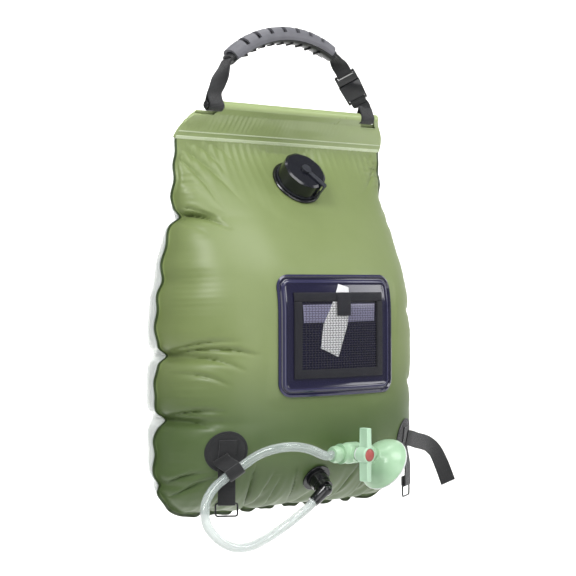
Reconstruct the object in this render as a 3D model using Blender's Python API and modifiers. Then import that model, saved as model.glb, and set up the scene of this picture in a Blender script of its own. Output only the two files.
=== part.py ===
"""Camp shower bag hanging by its handle.

Metres, +Z up, the bag's front faces -Y and its rod lies along X. The origin is the hang point: the underside of
the grip's crown. The bag hangs from a rod in its hem, two webbing straps tie the rod to a moulded grip, and a
clear hose runs from the outlet at the foot of the bag, through the left strap, to a shower handset with a
quarter-turn tap. The hem's frame, in which most places are given, has its origin on top of the hem.
"""

import math

import bmesh
import bpy
from mathutils import Matrix, Vector

# Sheet and clearances
SHEET = 0.0008
GAP = 0.0003
RUNNING_GAP = 0.0004
OVERRUN = 0.004
MERGE = 0.00001

# Bag, measured down from the top of the hem
BAG_SHIFT = 0.022
HEM_DROP = 0.074
BAG_HEIGHT = 0.490
HEM_HEIGHT = 0.045
HEM_HALF = 0.130
HEM_BAND = 0.009
WELD_HALF = 0.151
BAG_HALF = 0.180
WIDEST_DOWN = 0.300
CORNER_RADIUS = 0.050
SEAM_MARGIN = 0.006
SEAM_SET_BACK = 0.026
FRONT_BULGE = 0.110
BACK_BULGE = 0.102
FULL_DOWN = 0.250
FALL_DOWN = 0.360
FULLNESS = 2.3
RISE = 1.3
PANEL_COLUMNS = 18
PANEL_ROWS = 20

# Rod in the hem and webbing round it
ROD_RADIUS = 0.005
ROD_DOWN = 0.0068
WEB_WIDTH = 0.020
WEB_THICKNESS = 0.0014
LEFT_WEB_INSET = 0.0025
RIGHT_WEB_INSET = 0.0065
WEB_LEAD = 0.004
LOOP_MEET_SHARE = 2.2
NOTCH_CLEARANCE = 0.0008
NOTCH_DEPTH = 0.0165

# Grip
GRIP_CHORD = 0.158
GRIP_RISE = 0.026
GRIP_TILT = math.radians(7)
GRIP_CORE_WIDTH = 0.021
GRIP_CORE_HEIGHT = 0.017
GRIP_TAPER_SHARE = 0.16
GRIP_COVER_WALL = 0.0032
GRIP_COVER_SHARE = 0.93
COVER_CLEARANCE = 0.0005
GRIP_SLOTS = 7
GRIP_SLOT_WIDTH = 0.0055
GRIP_SLOT_PITCH = 0.0190
GRIP_RIBS = 9
GRIP_RIB_WIDTH = 0.0022
GRIP_RIB_HEIGHT = 0.0014
GRIP_SLOT_DEPTH = 0.006

# Side-release buckle: across, through and along the strap
BUCKLE_ACROSS = 0.029
BUCKLE_THROUGH = 0.0092
FEMALE_LENGTH = 0.0275
MALE_LENGTH = 0.0135
BUCKLE_WALL = 0.0026
BUCKLE_SKIN = 0.0021
BUCKLE_BAR = 0.0016
BUCKLE_EDGE = 0.0012
PRONG_LENGTH = 0.017
PRONG_WIDTH = 0.0034
BUCKLE_ALONG_SHARE = 0.44
BUCKLE_BOW = 0.0040
BUCKLE_TWIST = math.radians(38)

# Filler neck and cap, along their shared axis
NECK_DOWN = 0.094
NECK_TILT = math.radians(38)
FLANGE_RADIUS = 0.033
FLANGE_THICKNESS = 0.0026
FLANGE_EDGE = 0.0012
FLAT_SPREAD = 0.012
NECK_RADIUS = 0.024
NECK_BORE = 0.0205
NECK_HEIGHT = 0.0155
NECK_EDGE = 0.0006
CAP_SIDES = 10
CAP_RADIUS = 0.0290
CAP_CORNER = 0.0042
CAP_WALL = 0.0026
CAP_STEP_IN = 0.0030
CAP_STEP_UP = 0.0014
GASKET_THICKNESS = 0.0016
LEASH_THICKNESS = 0.0016
LEASH_ARM_WIDTH = 0.009
LEASH_ANGLE = math.radians(-58)
BUTTON_RADIUS = 0.0062
BUTTON_STEM = 0.0037
BUTTON_DOME = 0.0028
BUTTON_RECESS = 0.0016

# Pocket on the front
POCKET_X = 0.006
POCKET_DOWN = 0.278
POCKET_WIDTH = 0.173
POCKET_HEIGHT = 0.142
POCKET_CORNER = 0.016
BINDING_WIDTH = 0.134
BINDING_HEIGHT = 0.100
BINDING_BAND = 0.010
BINDING_THICKNESS = 0.0020
BINDING_CORNER = 0.0012
NET_COLUMNS = 11
NET_ROWS = 8
NET_STRAND = 0.0012
NET_THICKNESS = 0.0008
CARD_WIDTH = 0.030
CARD_HEIGHT = 0.088
CARD_CORNER = 0.002
CARD_X = -0.004
CARD_RISE = 0.016
CARD_LEAN = math.radians(-11)
CARD_THICKNESS = 0.0004
TAB_WIDTH = 0.020
TAB_HEIGHT = 0.026
TAB_CORNER = 0.003
TAB_X = 0.002
DRAPE_STEP = 0.016
PATCH_STEP = 0.010

# Strap patches low on the front, their straps and rings
PATCH_X = 0.134
PATCH_DOWN = 0.410
PATCH_RADIUS = 0.0245
PATCH_THICKNESS = 0.0010
STRAP_WIDTH = 0.020
STRAP_THICKNESS = 0.0014
SEWN_RISE = 0.014
SEWN_PITCH = 0.008
RING_STRAP_DROP = 0.048
RING_STRAP_OUT = 0.004
RING_STRAP_BACK = 0.010
RING_WIDTH = 0.0275
RING_HEIGHT = 0.017
RING_WIRE = 0.0011
RING_CORNER = 0.0024
HUG_FOOT = 0.006
HUG_TAIL = 0.012
HUG_CLEARANCE = 0.0018
OPEN_STRAP_REACH = 0.093
OPEN_STRAP_DEPTH = 0.024
OPEN_STRAP_FALL = 0.066
OPEN_STRAP_FACE = Vector((-0.5, -0.85, 0.1))
OPEN_STRAP_SHARES = [(0, 0, 0), (0.09, 0.08, 0.02), (0.25, 0.33, 0.08), (0.44, 0.62, 0.14), (0.59, 0.83, 0.21),
                     (0.74, 0.96, 0.35), (0.85, 1, 0.57), (0.93, 1, 0.79), (1, 1, 1)]

# Outlet at the foot of the front
OUTLET_X = -0.0145
OUTLET_DOWN = 0.447
OUTLET_FLANGE = 0.018
OUTLET_FLANGE_THICKNESS = 0.0020
OUTLET_NUT_RADIUS = 0.0125
OUTLET_NUT_LENGTH = 0.0100
OUTLET_RIBS = 12
SPIGOT_RADIUS = 0.0070
SPIGOT_LENGTH = 0.0100
ELBOW_RADIUS = 0.0075
ELBOW_TAIL = 0.022
ELBOW_WAY = Vector((-0.78, 0.05, -0.62))

# Hose, from the elbow round to the handset: places that it hangs through, in the hem's frame
HOSE_RADIUS = 0.0055
HOSE_STEP_SHARE = 4
HOSE_ROUTE = [(-0.0653, -0.0720, -0.4981), (-0.1025, -0.0760, -0.5119), (-0.1360, -0.0800, -0.5157),
              (-0.1631, -0.0800, -0.5048), (-0.1766, -0.0740, -0.4864), (-0.1753, -0.0680, -0.4683),
              (-0.1606, -0.0610, -0.4506), (-0.1415, -0.0600, -0.4380), (-0.1235, -0.0680, -0.4247),
              (-0.1054, -0.0810, -0.4105), (-0.0846, -0.0960, -0.4042), (-0.0600, -0.1030, -0.4060)]
STRAP_KNOT = 7

# Handset: the barrel lies along its own Z, the tap's spindle stands square to it
HANDSET_X = 0.0001
HANDSET_DOWN = 0.4150
HANDSET_STAND_OFF = 0.0312
HANDSET_CLEARANCE = 0.0240
HANDSET_REACH_SHARES = (-1, -0.5, 0, 0.5, 1)
HANDSET_YAW = math.radians(6)
COLLAR_RADIUS = 0.0100
COLLAR_LENGTH = 0.0125
COLLAR_LIP = 0.0038
VALVE_BACK = 0.0165
VALVE_RADIUS = 0.0125
VALVE_NECK = 0.0090
NECK_RUN = 0.0100
ROSE_DROOP = math.radians(32)
ROSE_NECK = 0.0285
ROSE_RADIUS = 0.0330
ROSE_DEPTH = 0.0230
ROSE_WALL = 0.0020
PLATE_THICKNESS = 0.0026
SPINDLE_RADIUS = 0.0040
SPINDLE_DEPTH = 0.0060
GLAND_RADIUS = 0.0080
GLAND_THICKNESS = 0.0031
HUB_RADIUS = 0.0095
HUB_BACK = 0.0180
HUB_LENGTH = 0.0145
HUB_RECESS = 0.0018
WING_DEPTH = 0.0140
WING_REACH = 0.0310
WING_THICKNESS = 0.0074
WING_EDGE = 0.0012
WING_PANEL_DEPTH = 0.0008
RED_CAP_RADIUS = 0.0072
RED_CAP_DOME = 0.0026

HEM = Vector((BAG_SHIFT, 0, -HEM_DROP))
LAYER = WEB_THICKNESS / 2 + GAP / 2
BAR_REACH = BUCKLE_BAR + GAP + WEB_THICKNESS / 2
ON_POCKET = GAP + SHEET + GAP
ON_PATCH = GAP + PATCH_THICKNESS + GAP + STRAP_THICKNESS / 2
ON_RING_STRAP = ON_PATCH + STRAP_THICKNESS + GAP


def clear_scene():
    for obj in list(bpy.data.objects):
        bpy.data.objects.remove(obj, do_unlink=True)


def new_collection(name):
    collection = bpy.data.collections.new(name)
    bpy.context.scene.collection.children.link(collection)
    return collection


def material(name, colour, roughness, alpha=1.0):
    mat = bpy.data.materials.new(name)
    mat.use_nodes = True
    shader = mat.node_tree.nodes["Principled BSDF"]
    shader.inputs["Base Color"].default_value = (*colour, 1)
    shader.inputs["Roughness"].default_value = roughness
    shader.inputs["Alpha"].default_value = alpha
    return mat


def empty(name, parent, place, turn=None):
    frame = bpy.data.objects.new(name, None)
    frame.parent = parent
    frame.matrix_local = Matrix.Translation(place) @ (turn.to_4x4() if turn else Matrix())
    PARTS.objects.link(frame)
    return frame


def part(name, bm, frame, mat):
    """A named sub-part from a bmesh, set in a frame."""
    mesh = bpy.data.meshes.new(name)
    bm.normal_update()
    bm.to_mesh(mesh)
    bm.free()
    obj = bpy.data.objects.new(name, mesh)
    obj.parent = frame
    mesh.materials.append(mat)
    mesh.shade_smooth()
    mesh.set_sharp_from_angle(angle=math.radians(35))
    PARTS.objects.link(obj)
    return obj


def cutter(name, bm, frame):
    mesh = bpy.data.meshes.new(name)
    bmesh.ops.recalc_face_normals(bm, faces=bm.faces)
    bm.to_mesh(mesh)
    bm.free()
    obj = bpy.data.objects.new(name, mesh)
    obj.parent = frame
    obj.hide_render = True
    obj.display_type = "WIRE"
    CUTTERS.objects.link(obj)
    return obj


def boolean(obj, tool, operation):
    mod = obj.modifiers.new(tool.name, "BOOLEAN")
    mod.operation = operation
    mod.solver = "EXACT"
    mod.object = tool


def solidify(obj, thickness, offset):
    mod = obj.modifiers.new("thickness", "SOLIDIFY")
    mod.thickness = thickness
    mod.offset = offset
    mod.use_even_offset = True


def frame_axes(z_axis, x_hint):
    """A rotation whose Z is z_axis and whose X lies as near x_hint as it can."""
    z = Vector(z_axis).normalized()
    x = (Vector(x_hint) - z * z.dot(x_hint)).normalized()
    return Matrix((x, z.cross(x), z)).transposed()


def box(bm, size, centre=(0, 0, 0), turn=None):
    matrix = Matrix.Translation(centre) @ (turn.to_4x4() if turn else Matrix()) @ Matrix.Diagonal((*size, 1))
    return bmesh.ops.create_cube(bm, size=1, matrix=matrix)["verts"]


def rod_mesh(bm, radius, z_low, z_high, segments=28, turn=None, place=(0, 0, 0), tip=None):
    """A cylinder or cone along Z between two heights."""
    matrix = Matrix.Translation(place) @ (turn.to_4x4() if turn else Matrix())
    matrix = matrix @ Matrix.Translation((0, 0, (z_low + z_high) / 2))
    return bmesh.ops.create_cone(bm, cap_ends=True, segments=segments, radius1=radius,
                                 radius2=radius if tip is None else tip, depth=z_high - z_low, matrix=matrix)["verts"]


def turned(name, profile, frame, mat, segments=28):
    """A body turned about local Z from (radius, height) points that run down its outer side, top to bottom."""
    bm = bmesh.new()
    verts = [bm.verts.new((radius, 0, height)) for radius, height in profile]
    for first, second in zip(verts, verts[1:] + verts[:1] if profile[0][0] > 0 else verts[1:]):
        bm.edges.new((first, second))
    obj = part(name, bm, frame, mat)
    mod = obj.modifiers.new("turn", "SCREW")
    mod.steps = segments
    mod.render_steps = segments
    mod.use_merge_vertices = True
    mod.merge_threshold = MERGE
    return obj


def bevel_all(bm, width, segments=2):
    edges = [e for e in bm.edges if e.is_manifold and e.calc_face_angle() > math.radians(30)]
    bmesh.ops.bevel(bm, geom=edges, offset=width, segments=segments, profile=0.5, affect="EDGES", material=-1)
    bm.normal_update()


def smooth(share):
    share = min(max(share, 0), 1)
    return share * share * (3 - 2 * share)


# Bag surface

def half_width(down):
    """Half of the welded outline's width at a distance below the hem's top."""
    spread = smooth((down - HEM_HEIGHT) / (WIDEST_DOWN - HEM_HEIGHT))
    width = WELD_HALF + (BAG_HALF - WELD_HALF) * spread
    into_corner = min(max(down - (BAG_HEIGHT - CORNER_RADIUS), 0), CORNER_RADIUS)
    return width - CORNER_RADIUS + math.sqrt(CORNER_RADIUS ** 2 - into_corner ** 2)


def swell(x, down, bulge):
    """How far a filled panel stands off the seam plane."""
    rise = min(max((down - HEM_HEIGHT) / (FULL_DOWN - HEM_HEIGHT), 0), 1)
    fall = min(max((down - FALL_DOWN) / (BAG_HEIGHT - FALL_DOWN), 0), 1)
    across = min(abs(x) / half_width(down), 1)
    along = math.sin(math.pi / 2 * rise) ** RISE * (1 - fall ** FULLNESS) ** (1 / FULLNESS)
    return bulge * along * (1 - across ** FULLNESS) ** (1 / FULLNESS)


def front_y(x, down):
    """The front panel's outer face. It is held flat under the filler flange."""
    seam = SEAM_SET_BACK - GAP / 2 - SHEET
    y = seam - swell(x, down, FRONT_BULGE)
    reach = math.hypot(x, (down - NECK_DOWN) / math.cos(NECK_TILT))
    hold = 1 - smooth((reach - FLANGE_RADIUS - FLAT_SPREAD) / FLANGE_RADIUS)
    flat = seam - swell(0, NECK_DOWN, FRONT_BULGE) - math.tan(NECK_TILT) * (down - NECK_DOWN)
    return min(y + (flat - y) * hold, seam)


def front_normal(x, down):
    step = SHEET
    slope_x = (front_y(x + step, down) - front_y(x - step, down)) / (2 * step)
    slope_down = (front_y(x, down + step) - front_y(x, down - step)) / (2 * step)
    return Vector((slope_x, -1, -slope_down)).normalized()


def on_front(x, down, off=0.0):
    """A point at a height above the front panel, in the hem's frame."""
    return Vector((x, front_y(x, down), -down)) + front_normal(x, down) * off


def lay_on_front(point, off):
    """The place straight in front of or behind a point, at a height above the front panel."""
    x, down = point.x, -point.z
    for _ in range(6):
        place = on_front(x, down, off)
        x += point.x - place.x
        down += place.z - point.z
    return place


def panel_point(across, up, side):
    """Maps a unit grid to one welded panel: an outer ring of flat margin, closer rows towards the seams."""
    inner = across * PANEL_COLUMNS / (PANEL_COLUMNS - 2)
    row = (up + 1) / 2 * PANEL_ROWS
    run = BAG_HEIGHT - HEM_HEIGHT
    down = BAG_HEIGHT + SEAM_MARGIN
    if row > 0.5:
        share = (row - 1) / (PANEL_ROWS - 1) * 2 - 1
        down = BAG_HEIGHT - run * (1 + math.sin(math.pi / 2 * share)) / 2
    width = half_width(min(down, BAG_HEIGHT))
    x = width * math.sin(math.pi / 2 * max(min(inner, 1), -1))
    if abs(inner) > 1.001:
        x = math.copysign(width + SEAM_MARGIN, inner)
    if side < 0:
        return Vector((x, front_y(x, down), -down))
    return Vector((-x, SEAM_SET_BACK + GAP / 2 + SHEET + swell(x, down, BACK_BULGE), -down))


def bag_panel(name, side, mat):
    bm = bmesh.new()
    bmesh.ops.create_grid(bm, x_segments=PANEL_COLUMNS, y_segments=PANEL_ROWS, size=1)
    for vert in bm.verts:
        vert.co = panel_point(vert.co.x, vert.co.y, side)
    obj = part(name, bm, BAG_FRAME, mat)
    solidify(obj, SHEET, -1)
    return obj


def front_panel():
    panel = bag_panel("front_panel", -1, GREEN)
    tool = bmesh.new()
    rod_mesh(tool, NECK_BORE, -FLANGE_RADIUS, FLANGE_RADIUS)
    boolean(panel, cutter("filler_hole_cut", tool, NECK_FRAME), "DIFFERENCE")


def hem_sleeve():
    """The green sheet folded over the rod and welded to itself, with a notch for the webbing at each end."""
    top = Vector((0, -ROD_DOWN))
    foot = Vector((SEAM_SET_BACK, -HEM_HEIGHT + 2 * GAP))
    run = foot - top
    along = run.normalized()
    out = Vector((along.y, -along.x))
    leg = GAP / 2 + SHEET / 2
    radius = ROD_RADIUS + RUNNING_GAP + SHEET / 2
    turn_start = math.radians(80)
    turn_steps = 10
    path = [(run.length, leg), (run.length - HEM_BAND, leg)]
    for i in range(turn_steps + 1):
        angle = turn_start + (2 * math.pi - 2 * turn_start) * i / turn_steps
        path.append((radius * math.cos(angle), radius * math.sin(angle)))
    path += [(run.length - HEM_BAND, -leg), (run.length, -leg)]
    bm = bmesh.new()
    bmesh.ops.create_grid(bm, x_segments=6, y_segments=len(path) - 1, size=1)
    for vert in bm.verts:
        far, off = path[round((vert.co.y + 1) / 2 * (len(path) - 1))]
        place = top + along * far + out * off
        spread = min(max(far / run.length, 0), 1)
        half = HEM_HALF + (WELD_HALF + SEAM_MARGIN - HEM_HALF) * spread
        vert.co = Vector((vert.co.x * half, place.x, place.y))
    obj = part("hem_sleeve", bm, BAG_FRAME, GREEN)
    solidify(obj, SHEET, 0)
    for side, x in (("left", LEFT_WEB_X), ("right", RIGHT_WEB_X)):
        tool = bmesh.new()
        box(tool, (WEB_WIDTH + 2 * NOTCH_CLEARANCE, 4 * NOTCH_DEPTH, 2 * NOTCH_DEPTH), (x, 0, 0))
        boolean(obj, cutter(f"{side}_notch_cut", tool, BAG_FRAME), "DIFFERENCE")


def hem_rod():
    bm = bmesh.new()
    rod_mesh(bm, ROD_RADIUS, -HEM_HALF, HEM_HALF, 20, Matrix.Rotation(math.pi / 2, 3, "Y"), (0, 0, -ROD_DOWN))
    part("hem_rod", bm, BAG_FRAME, BLACK)


# Webbing

def ribbon(name, stations, width, thickness, frame, mat):
    """A flat strap through stations of (centre, direction of its width)."""
    bm = bmesh.new()
    bmesh.ops.create_grid(bm, x_segments=2, y_segments=len(stations) - 1, size=1)
    for vert in bm.verts:
        centre, side = stations[round((vert.co.y + 1) / 2 * (len(stations) - 1))]
        vert.co = centre + side * (vert.co.x * width / 2)
    obj = part(name, bm, frame, mat)
    solidify(obj, thickness, 0)


def wrap(centre, axis, start, radius, turn, steps):
    """Points round a bar, from a start direction, turning about the bar's axis."""
    return [centre + Matrix.Rotation(turn * i / steps, 3, axis) @ start * radius for i in range(steps + 1)]


def bar_wrap(bar, side, away):
    """Points round a buckle's bar for a strap that leaves it along away in two layers."""
    lean = math.acos(1 / LOOP_MEET_SHARE)
    start = away * math.cos(lean) + away.cross(side) * math.sin(lean)
    return [(point, side) for point in wrap(bar, side, start, BAR_REACH, 2 * (lean - math.pi), 8)]


def twisted(first, first_side, last, last_side, steps, layer):
    """Stations of one layer of a double strap whose width turns from one direction to another."""
    stations = []
    for i in range(steps + 1):
        share = i / steps
        side = first_side.lerp(last_side, smooth(share)).normalized()
        normal = (last - first).cross(side).normalized()
        stations.append((first.lerp(last, share) + normal * layer, side))
    return stations


def rod_loop(top, top_side, x):
    """A double strap from a grip or buckle, round the rod and back."""
    rod = Vector((x, 0, -ROD_DOWN))
    reach = ROD_RADIUS + RUNNING_GAP + WEB_THICKNESS / 2
    meet = rod + Vector((0, 0, LOOP_MEET_SHARE * reach))
    side = Vector((1, 0, 0))
    lean = math.acos(1 / LOOP_MEET_SHARE)
    down = twisted(top, top_side, meet, side, 5, -LAYER)
    start = Vector((0, math.copysign(math.sin(lean), down[-1][0].y), math.cos(lean)))
    turn = math.copysign(2 * (math.pi - lean), -start.y)
    round_rod = [(point, side) for point in wrap(rod, side, start, reach, turn, 10)]
    back = twisted(top, top_side, meet, side, 5, LAYER)
    return down + round_rod + back[::-1]


def grip_end(side):
    """The centre of one end of the grip and the direction that points out of it, in the hem's frame."""
    angle = side * GRIP_HALF_ANGLE
    out = Vector((math.cos(angle) * side, 0, -math.sin(angle) * side))
    place = Vector((GRIP_RADIUS * math.sin(angle), 0, GRIP_RADIUS * (math.cos(angle) - 1)))
    turn = Matrix.Rotation(-GRIP_TILT, 3, "Y")
    crown = Vector((-BAG_SHIFT, 0, HEM_DROP + GRIP_MIDDLE))
    return crown + turn @ place, turn @ out


def slot_stations(side):
    """Where the two layers of a strap lie in the slot of one end of the grip."""
    across = Vector((0, -1, 0))
    end, out = grip_end(side)
    normal = out.cross(across) * LAYER
    deep = end - out * (GRIP_SLOT_DEPTH - 2 * GAP)
    return [(deep - normal, across), (end - normal, across)], [(end + normal, across), (deep + normal, across)]


def webbing():
    across = Vector((0, -1, 0))
    end, out = grip_end(-1)
    head, tail = slot_stations(-1)
    loop = rod_loop(end + out * WEB_LEAD, across, LEFT_WEB_X)
    ribbon("left_webbing", head + loop + tail, WEB_WIDTH, WEB_THICKNESS, HEM_FRAME, WEBBING)

    side = BUCKLE_TURN @ Vector((1, 0, 0))
    bar = BUCKLE_MOUTH - BUCKLE_UP * (FEMALE_LENGTH - BUCKLE_BAR)
    top = bar - BUCKLE_UP * LOOP_MEET_SHARE * BAR_REACH
    first = top + (-BUCKLE_UP).cross(side) * LAYER
    stations = [(first, side)] + bar_wrap(bar, side, -BUCKLE_UP) + rod_loop(top, side, RIGHT_WEB_X)[:-1]
    ribbon("right_lower_webbing", stations, WEB_WIDTH, WEB_THICKNESS, HEM_FRAME, WEBBING)

    end, out = grip_end(1)
    head, tail = slot_stations(1)
    bar = BUCKLE_MOUTH + BUCKLE_UP * (MALE_LENGTH - BUCKLE_BAR)
    top = end + out * WEB_LEAD
    meet = bar + BUCKLE_UP * LOOP_MEET_SHARE * BAR_REACH
    down = twisted(top, across, meet, side, 4, -LAYER)
    back = twisted(top, across, meet, side, 4, LAYER)[::-1]
    stations = head + down + bar_wrap(bar, side, BUCKLE_UP) + back + tail
    ribbon("right_upper_webbing", stations, WEB_WIDTH, WEB_THICKNESS, HEM_FRAME, WEBBING)


# Grip

def grip_section(bm, width, height, angles):
    """Points of the grip's oval section, standing at the grip's crown."""
    verts = []
    for angle in angles:
        y = width / 2 * math.copysign(abs(math.cos(angle)) ** 0.85, math.cos(angle))
        z = height / 2 * math.copysign(abs(math.sin(angle)) ** 0.85, math.sin(angle))
        verts.append(bm.verts.new((0, y, z)))
    return verts


def spin_grip(bm, edges, half_angle, steps):
    """Sweeps a section to both sides along the grip's arch, then draws the arch in towards its ends."""
    centre = Vector((0, 0, -GRIP_RADIUS))
    bmesh.ops.rotate(bm, verts=bm.verts, cent=centre, matrix=Matrix.Rotation(-half_angle, 3, "Y"))
    bmesh.ops.spin(bm, geom=edges, cent=centre, axis=(0, 1, 0), angle=2 * half_angle, steps=steps,
                   use_duplicate=False)
    for vert in bm.verts:
        angle = math.atan2(vert.co.x, vert.co.z + GRIP_RADIUS)
        share = 1 - GRIP_TAPER_SHARE * (abs(angle) / GRIP_HALF_ANGLE) ** 3
        radius = math.hypot(vert.co.x, vert.co.z + GRIP_RADIUS)
        new = GRIP_RADIUS + (radius - GRIP_RADIUS) * share
        vert.co = Vector((new * math.sin(angle), vert.co.y * share, new * math.cos(angle) - GRIP_RADIUS))


def on_arch(angle, off):
    """A place on the grip's arch, at a height off its middle line, and the turn that stands there."""
    turn = Matrix.Rotation(angle, 3, "Y")
    return turn @ Vector((0, 0, GRIP_RADIUS + off)) - Vector((0, 0, GRIP_RADIUS)), turn


def grip_core():
    """The black inner body: an oval arch with ribs under it and a slot for the webbing in each end."""
    bm = bmesh.new()
    ring = grip_section(bm, GRIP_CORE_WIDTH, GRIP_CORE_HEIGHT, [2 * math.pi * i / 18 for i in range(18)])
    edges = [bm.edges.new((a, b)) for a, b in zip(ring, ring[1:] + ring[:1])]
    spin_grip(bm, edges, GRIP_HALF_ANGLE, 15)
    bmesh.ops.holes_fill(bm, edges=[e for e in bm.edges if e.is_boundary], sides=0)
    bmesh.ops.recalc_face_normals(bm, faces=bm.faces)
    core = part("grip_core", bm, GRIP_FRAME, BLACK)
    ribs = bmesh.new()
    for i in range(GRIP_RIBS):
        place, turn = on_arch(GRIP_HALF_ANGLE * 0.72 * (2 * i / (GRIP_RIBS - 1) - 1), -GRIP_CORE_HEIGHT / 2)
        box(ribs, (GRIP_RIB_WIDTH, GRIP_CORE_WIDTH * 0.62, 2 * GRIP_RIB_HEIGHT), place, turn)
    boolean(core, cutter("grip_rib_join", ribs, GRIP_FRAME), "UNION")
    slots = bmesh.new()
    for side in (-1, 1):
        place, turn = on_arch(side * GRIP_HALF_ANGLE, 0)
        box(slots, (2 * GRIP_SLOT_DEPTH, WEB_WIDTH + 2 * RUNNING_GAP,
                    2 * WEB_THICKNESS + GAP + 2 * RUNNING_GAP), place, turn)
    boolean(core, cutter("grip_slot_cut", slots, GRIP_FRAME), "DIFFERENCE")


def grip_cover():
    """The grey overmould: a wall over the upper side of the core, with open cross slots."""
    bm = bmesh.new()
    start = math.radians(-24)
    angles = [start + (math.pi - 2 * start) * i / 12 for i in range(13)]
    clear = 2 * COVER_CLEARANCE + GRIP_COVER_WALL
    verts = grip_section(bm, GRIP_CORE_WIDTH + clear, GRIP_CORE_HEIGHT + clear, angles)
    edges = [bm.edges.new((a, b)) for a, b in zip(verts, verts[1:])]
    spin_grip(bm, edges, GRIP_HALF_ANGLE * GRIP_COVER_SHARE, 14)
    bmesh.ops.recalc_face_normals(bm, faces=bm.faces)
    cover = part("grip_cover", bm, GRIP_FRAME, GREY)
    solidify(cover, GRIP_COVER_WALL, 0)
    slots = bmesh.new()
    for i in range(GRIP_SLOTS):
        place, turn = on_arch((i - (GRIP_SLOTS - 1) / 2) * GRIP_SLOT_PITCH / GRIP_RADIUS, GRIP_CORE_HEIGHT / 2)
        box(slots, (GRIP_SLOT_WIDTH, GRIP_CORE_WIDTH * 1.3, GRIP_CORE_HEIGHT * 0.7), place, turn)
    boolean(cover, cutter("grip_cover_slot_cut", slots, GRIP_FRAME), "DIFFERENCE")


# Buckle

def strap_bar(obj, name, bar, end):
    """Clears the webbing's width round a bar, out to the buckle's end, and sets the bar in it."""
    room = BAR_REACH + WEB_THICKNESS / 2 + GAP
    way = math.copysign(1, end - bar)
    far = end + way * OVERRUN
    near = bar - way * room
    tool = bmesh.new()
    box(tool, (WEB_WIDTH + 2 * RUNNING_GAP, 2 * BUCKLE_THROUGH, abs(far - near)), (0, 0, (far + near) / 2))
    boolean(obj, cutter(f"{name}_web_cut", tool, BUCKLE_FRAME), "DIFFERENCE")
    tool = bmesh.new()
    half = WEB_WIDTH / 2 + RUNNING_GAP + BUCKLE_WALL / 2
    rod_mesh(tool, BUCKLE_BAR, -half, half, 12, Matrix.Rotation(math.pi / 2, 3, "Y"), (0, 0, bar))
    boolean(obj, cutter(f"{name}_bar_join", tool, BUCKLE_FRAME), "UNION")


def buckle_female():
    """The lower half: a flat shell, open at its mouth and at the two side windows, with a bar for the webbing."""
    bm = bmesh.new()
    verts = box(bm, (BUCKLE_ACROSS, BUCKLE_THROUGH, FEMALE_LENGTH), (0, 0, -FEMALE_LENGTH / 2))
    for vert in verts:
        if vert.co.z < -FEMALE_LENGTH / 2:
            vert.co.x *= 0.90
            vert.co.y *= 0.70
    bevel_all(bm, BUCKLE_EDGE)
    obj = part("buckle_female", bm, BUCKLE_FRAME, BLACK)
    wide = BUCKLE_ACROSS - 2 * BUCKLE_WALL
    through = BUCKLE_THROUGH - 2 * BUCKLE_SKIN
    deep = PRONG_LENGTH + GAP
    cavity = bmesh.new()
    box(cavity, (wide, through, deep + OVERRUN), (0, 0, (OVERRUN - deep) / 2))
    boolean(obj, cutter("buckle_mouth_cut", cavity, BUCKLE_FRAME), "DIFFERENCE")
    windows = bmesh.new()
    box(windows, (2 * BUCKLE_ACROSS, through, PRONG_LENGTH * 0.5), (0, 0, -PRONG_LENGTH * 0.62))
    boolean(obj, cutter("buckle_window_cut", windows, BUCKLE_FRAME), "DIFFERENCE")
    strap_bar(obj, "buckle_female", BUCKLE_BAR - FEMALE_LENGTH, -FEMALE_LENGTH)


def buckle_male():
    """The upper half: a base with a bar for the webbing, two prongs and a centre guide."""
    bm = bmesh.new()
    box(bm, (BUCKLE_ACROSS * 0.96, BUCKLE_THROUGH * 0.9, MALE_LENGTH - GAP), (0, 0, (MALE_LENGTH + GAP) / 2))
    bevel_all(bm, BUCKLE_EDGE)
    obj = part("buckle_male", bm, BUCKLE_FRAME, BLACK)
    prongs = bmesh.new()
    outer = BUCKLE_ACROSS / 2 - BUCKLE_WALL - RUNNING_GAP
    through = BUCKLE_THROUGH - 2 * BUCKLE_SKIN - 2 * RUNNING_GAP
    length = PRONG_LENGTH - GAP
    for side in (-1, 1):
        verts = box(prongs, (PRONG_WIDTH, through, length + OVERRUN),
                    (side * (outer - PRONG_WIDTH / 2), 0, (OVERRUN - length) / 2))
        for vert in verts:
            if vert.co.z < -length / 2:
                vert.co.x -= side * PRONG_WIDTH * 0.35
    guide = length * 0.8
    box(prongs, (PRONG_WIDTH * 0.7, through, guide + OVERRUN), (0, 0, (OVERRUN - guide) / 2))
    boolean(obj, cutter("buckle_prong_join", prongs, BUCKLE_FRAME), "UNION")
    strap_bar(obj, "buckle_male", MALE_LENGTH - BUCKLE_BAR, MALE_LENGTH)


# Filler

def filler_flange():
    top = GAP + FLANGE_THICKNESS
    rim = top + NECK_HEIGHT
    profile = [(NECK_BORE, rim), (NECK_RADIUS - NECK_EDGE, rim), (NECK_RADIUS, rim - NECK_EDGE), (NECK_RADIUS, top),
               (FLANGE_RADIUS - FLANGE_EDGE, top), (FLANGE_RADIUS, top - FLANGE_EDGE), (FLANGE_RADIUS, GAP),
               (NECK_BORE, GAP)]
    turned("filler_flange", profile, NECK_FRAME, BLACK)


def cap_heights():
    """Heights of the skirt's foot, the gasket's foot and the ceiling above the panel."""
    foot = 2 * GAP + FLANGE_THICKNESS + LEASH_THICKNESS + RUNNING_GAP
    gasket = GAP + FLANGE_THICKNESS + NECK_HEIGHT + GAP
    return foot, gasket, gasket + GASKET_THICKNESS + GAP


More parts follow.
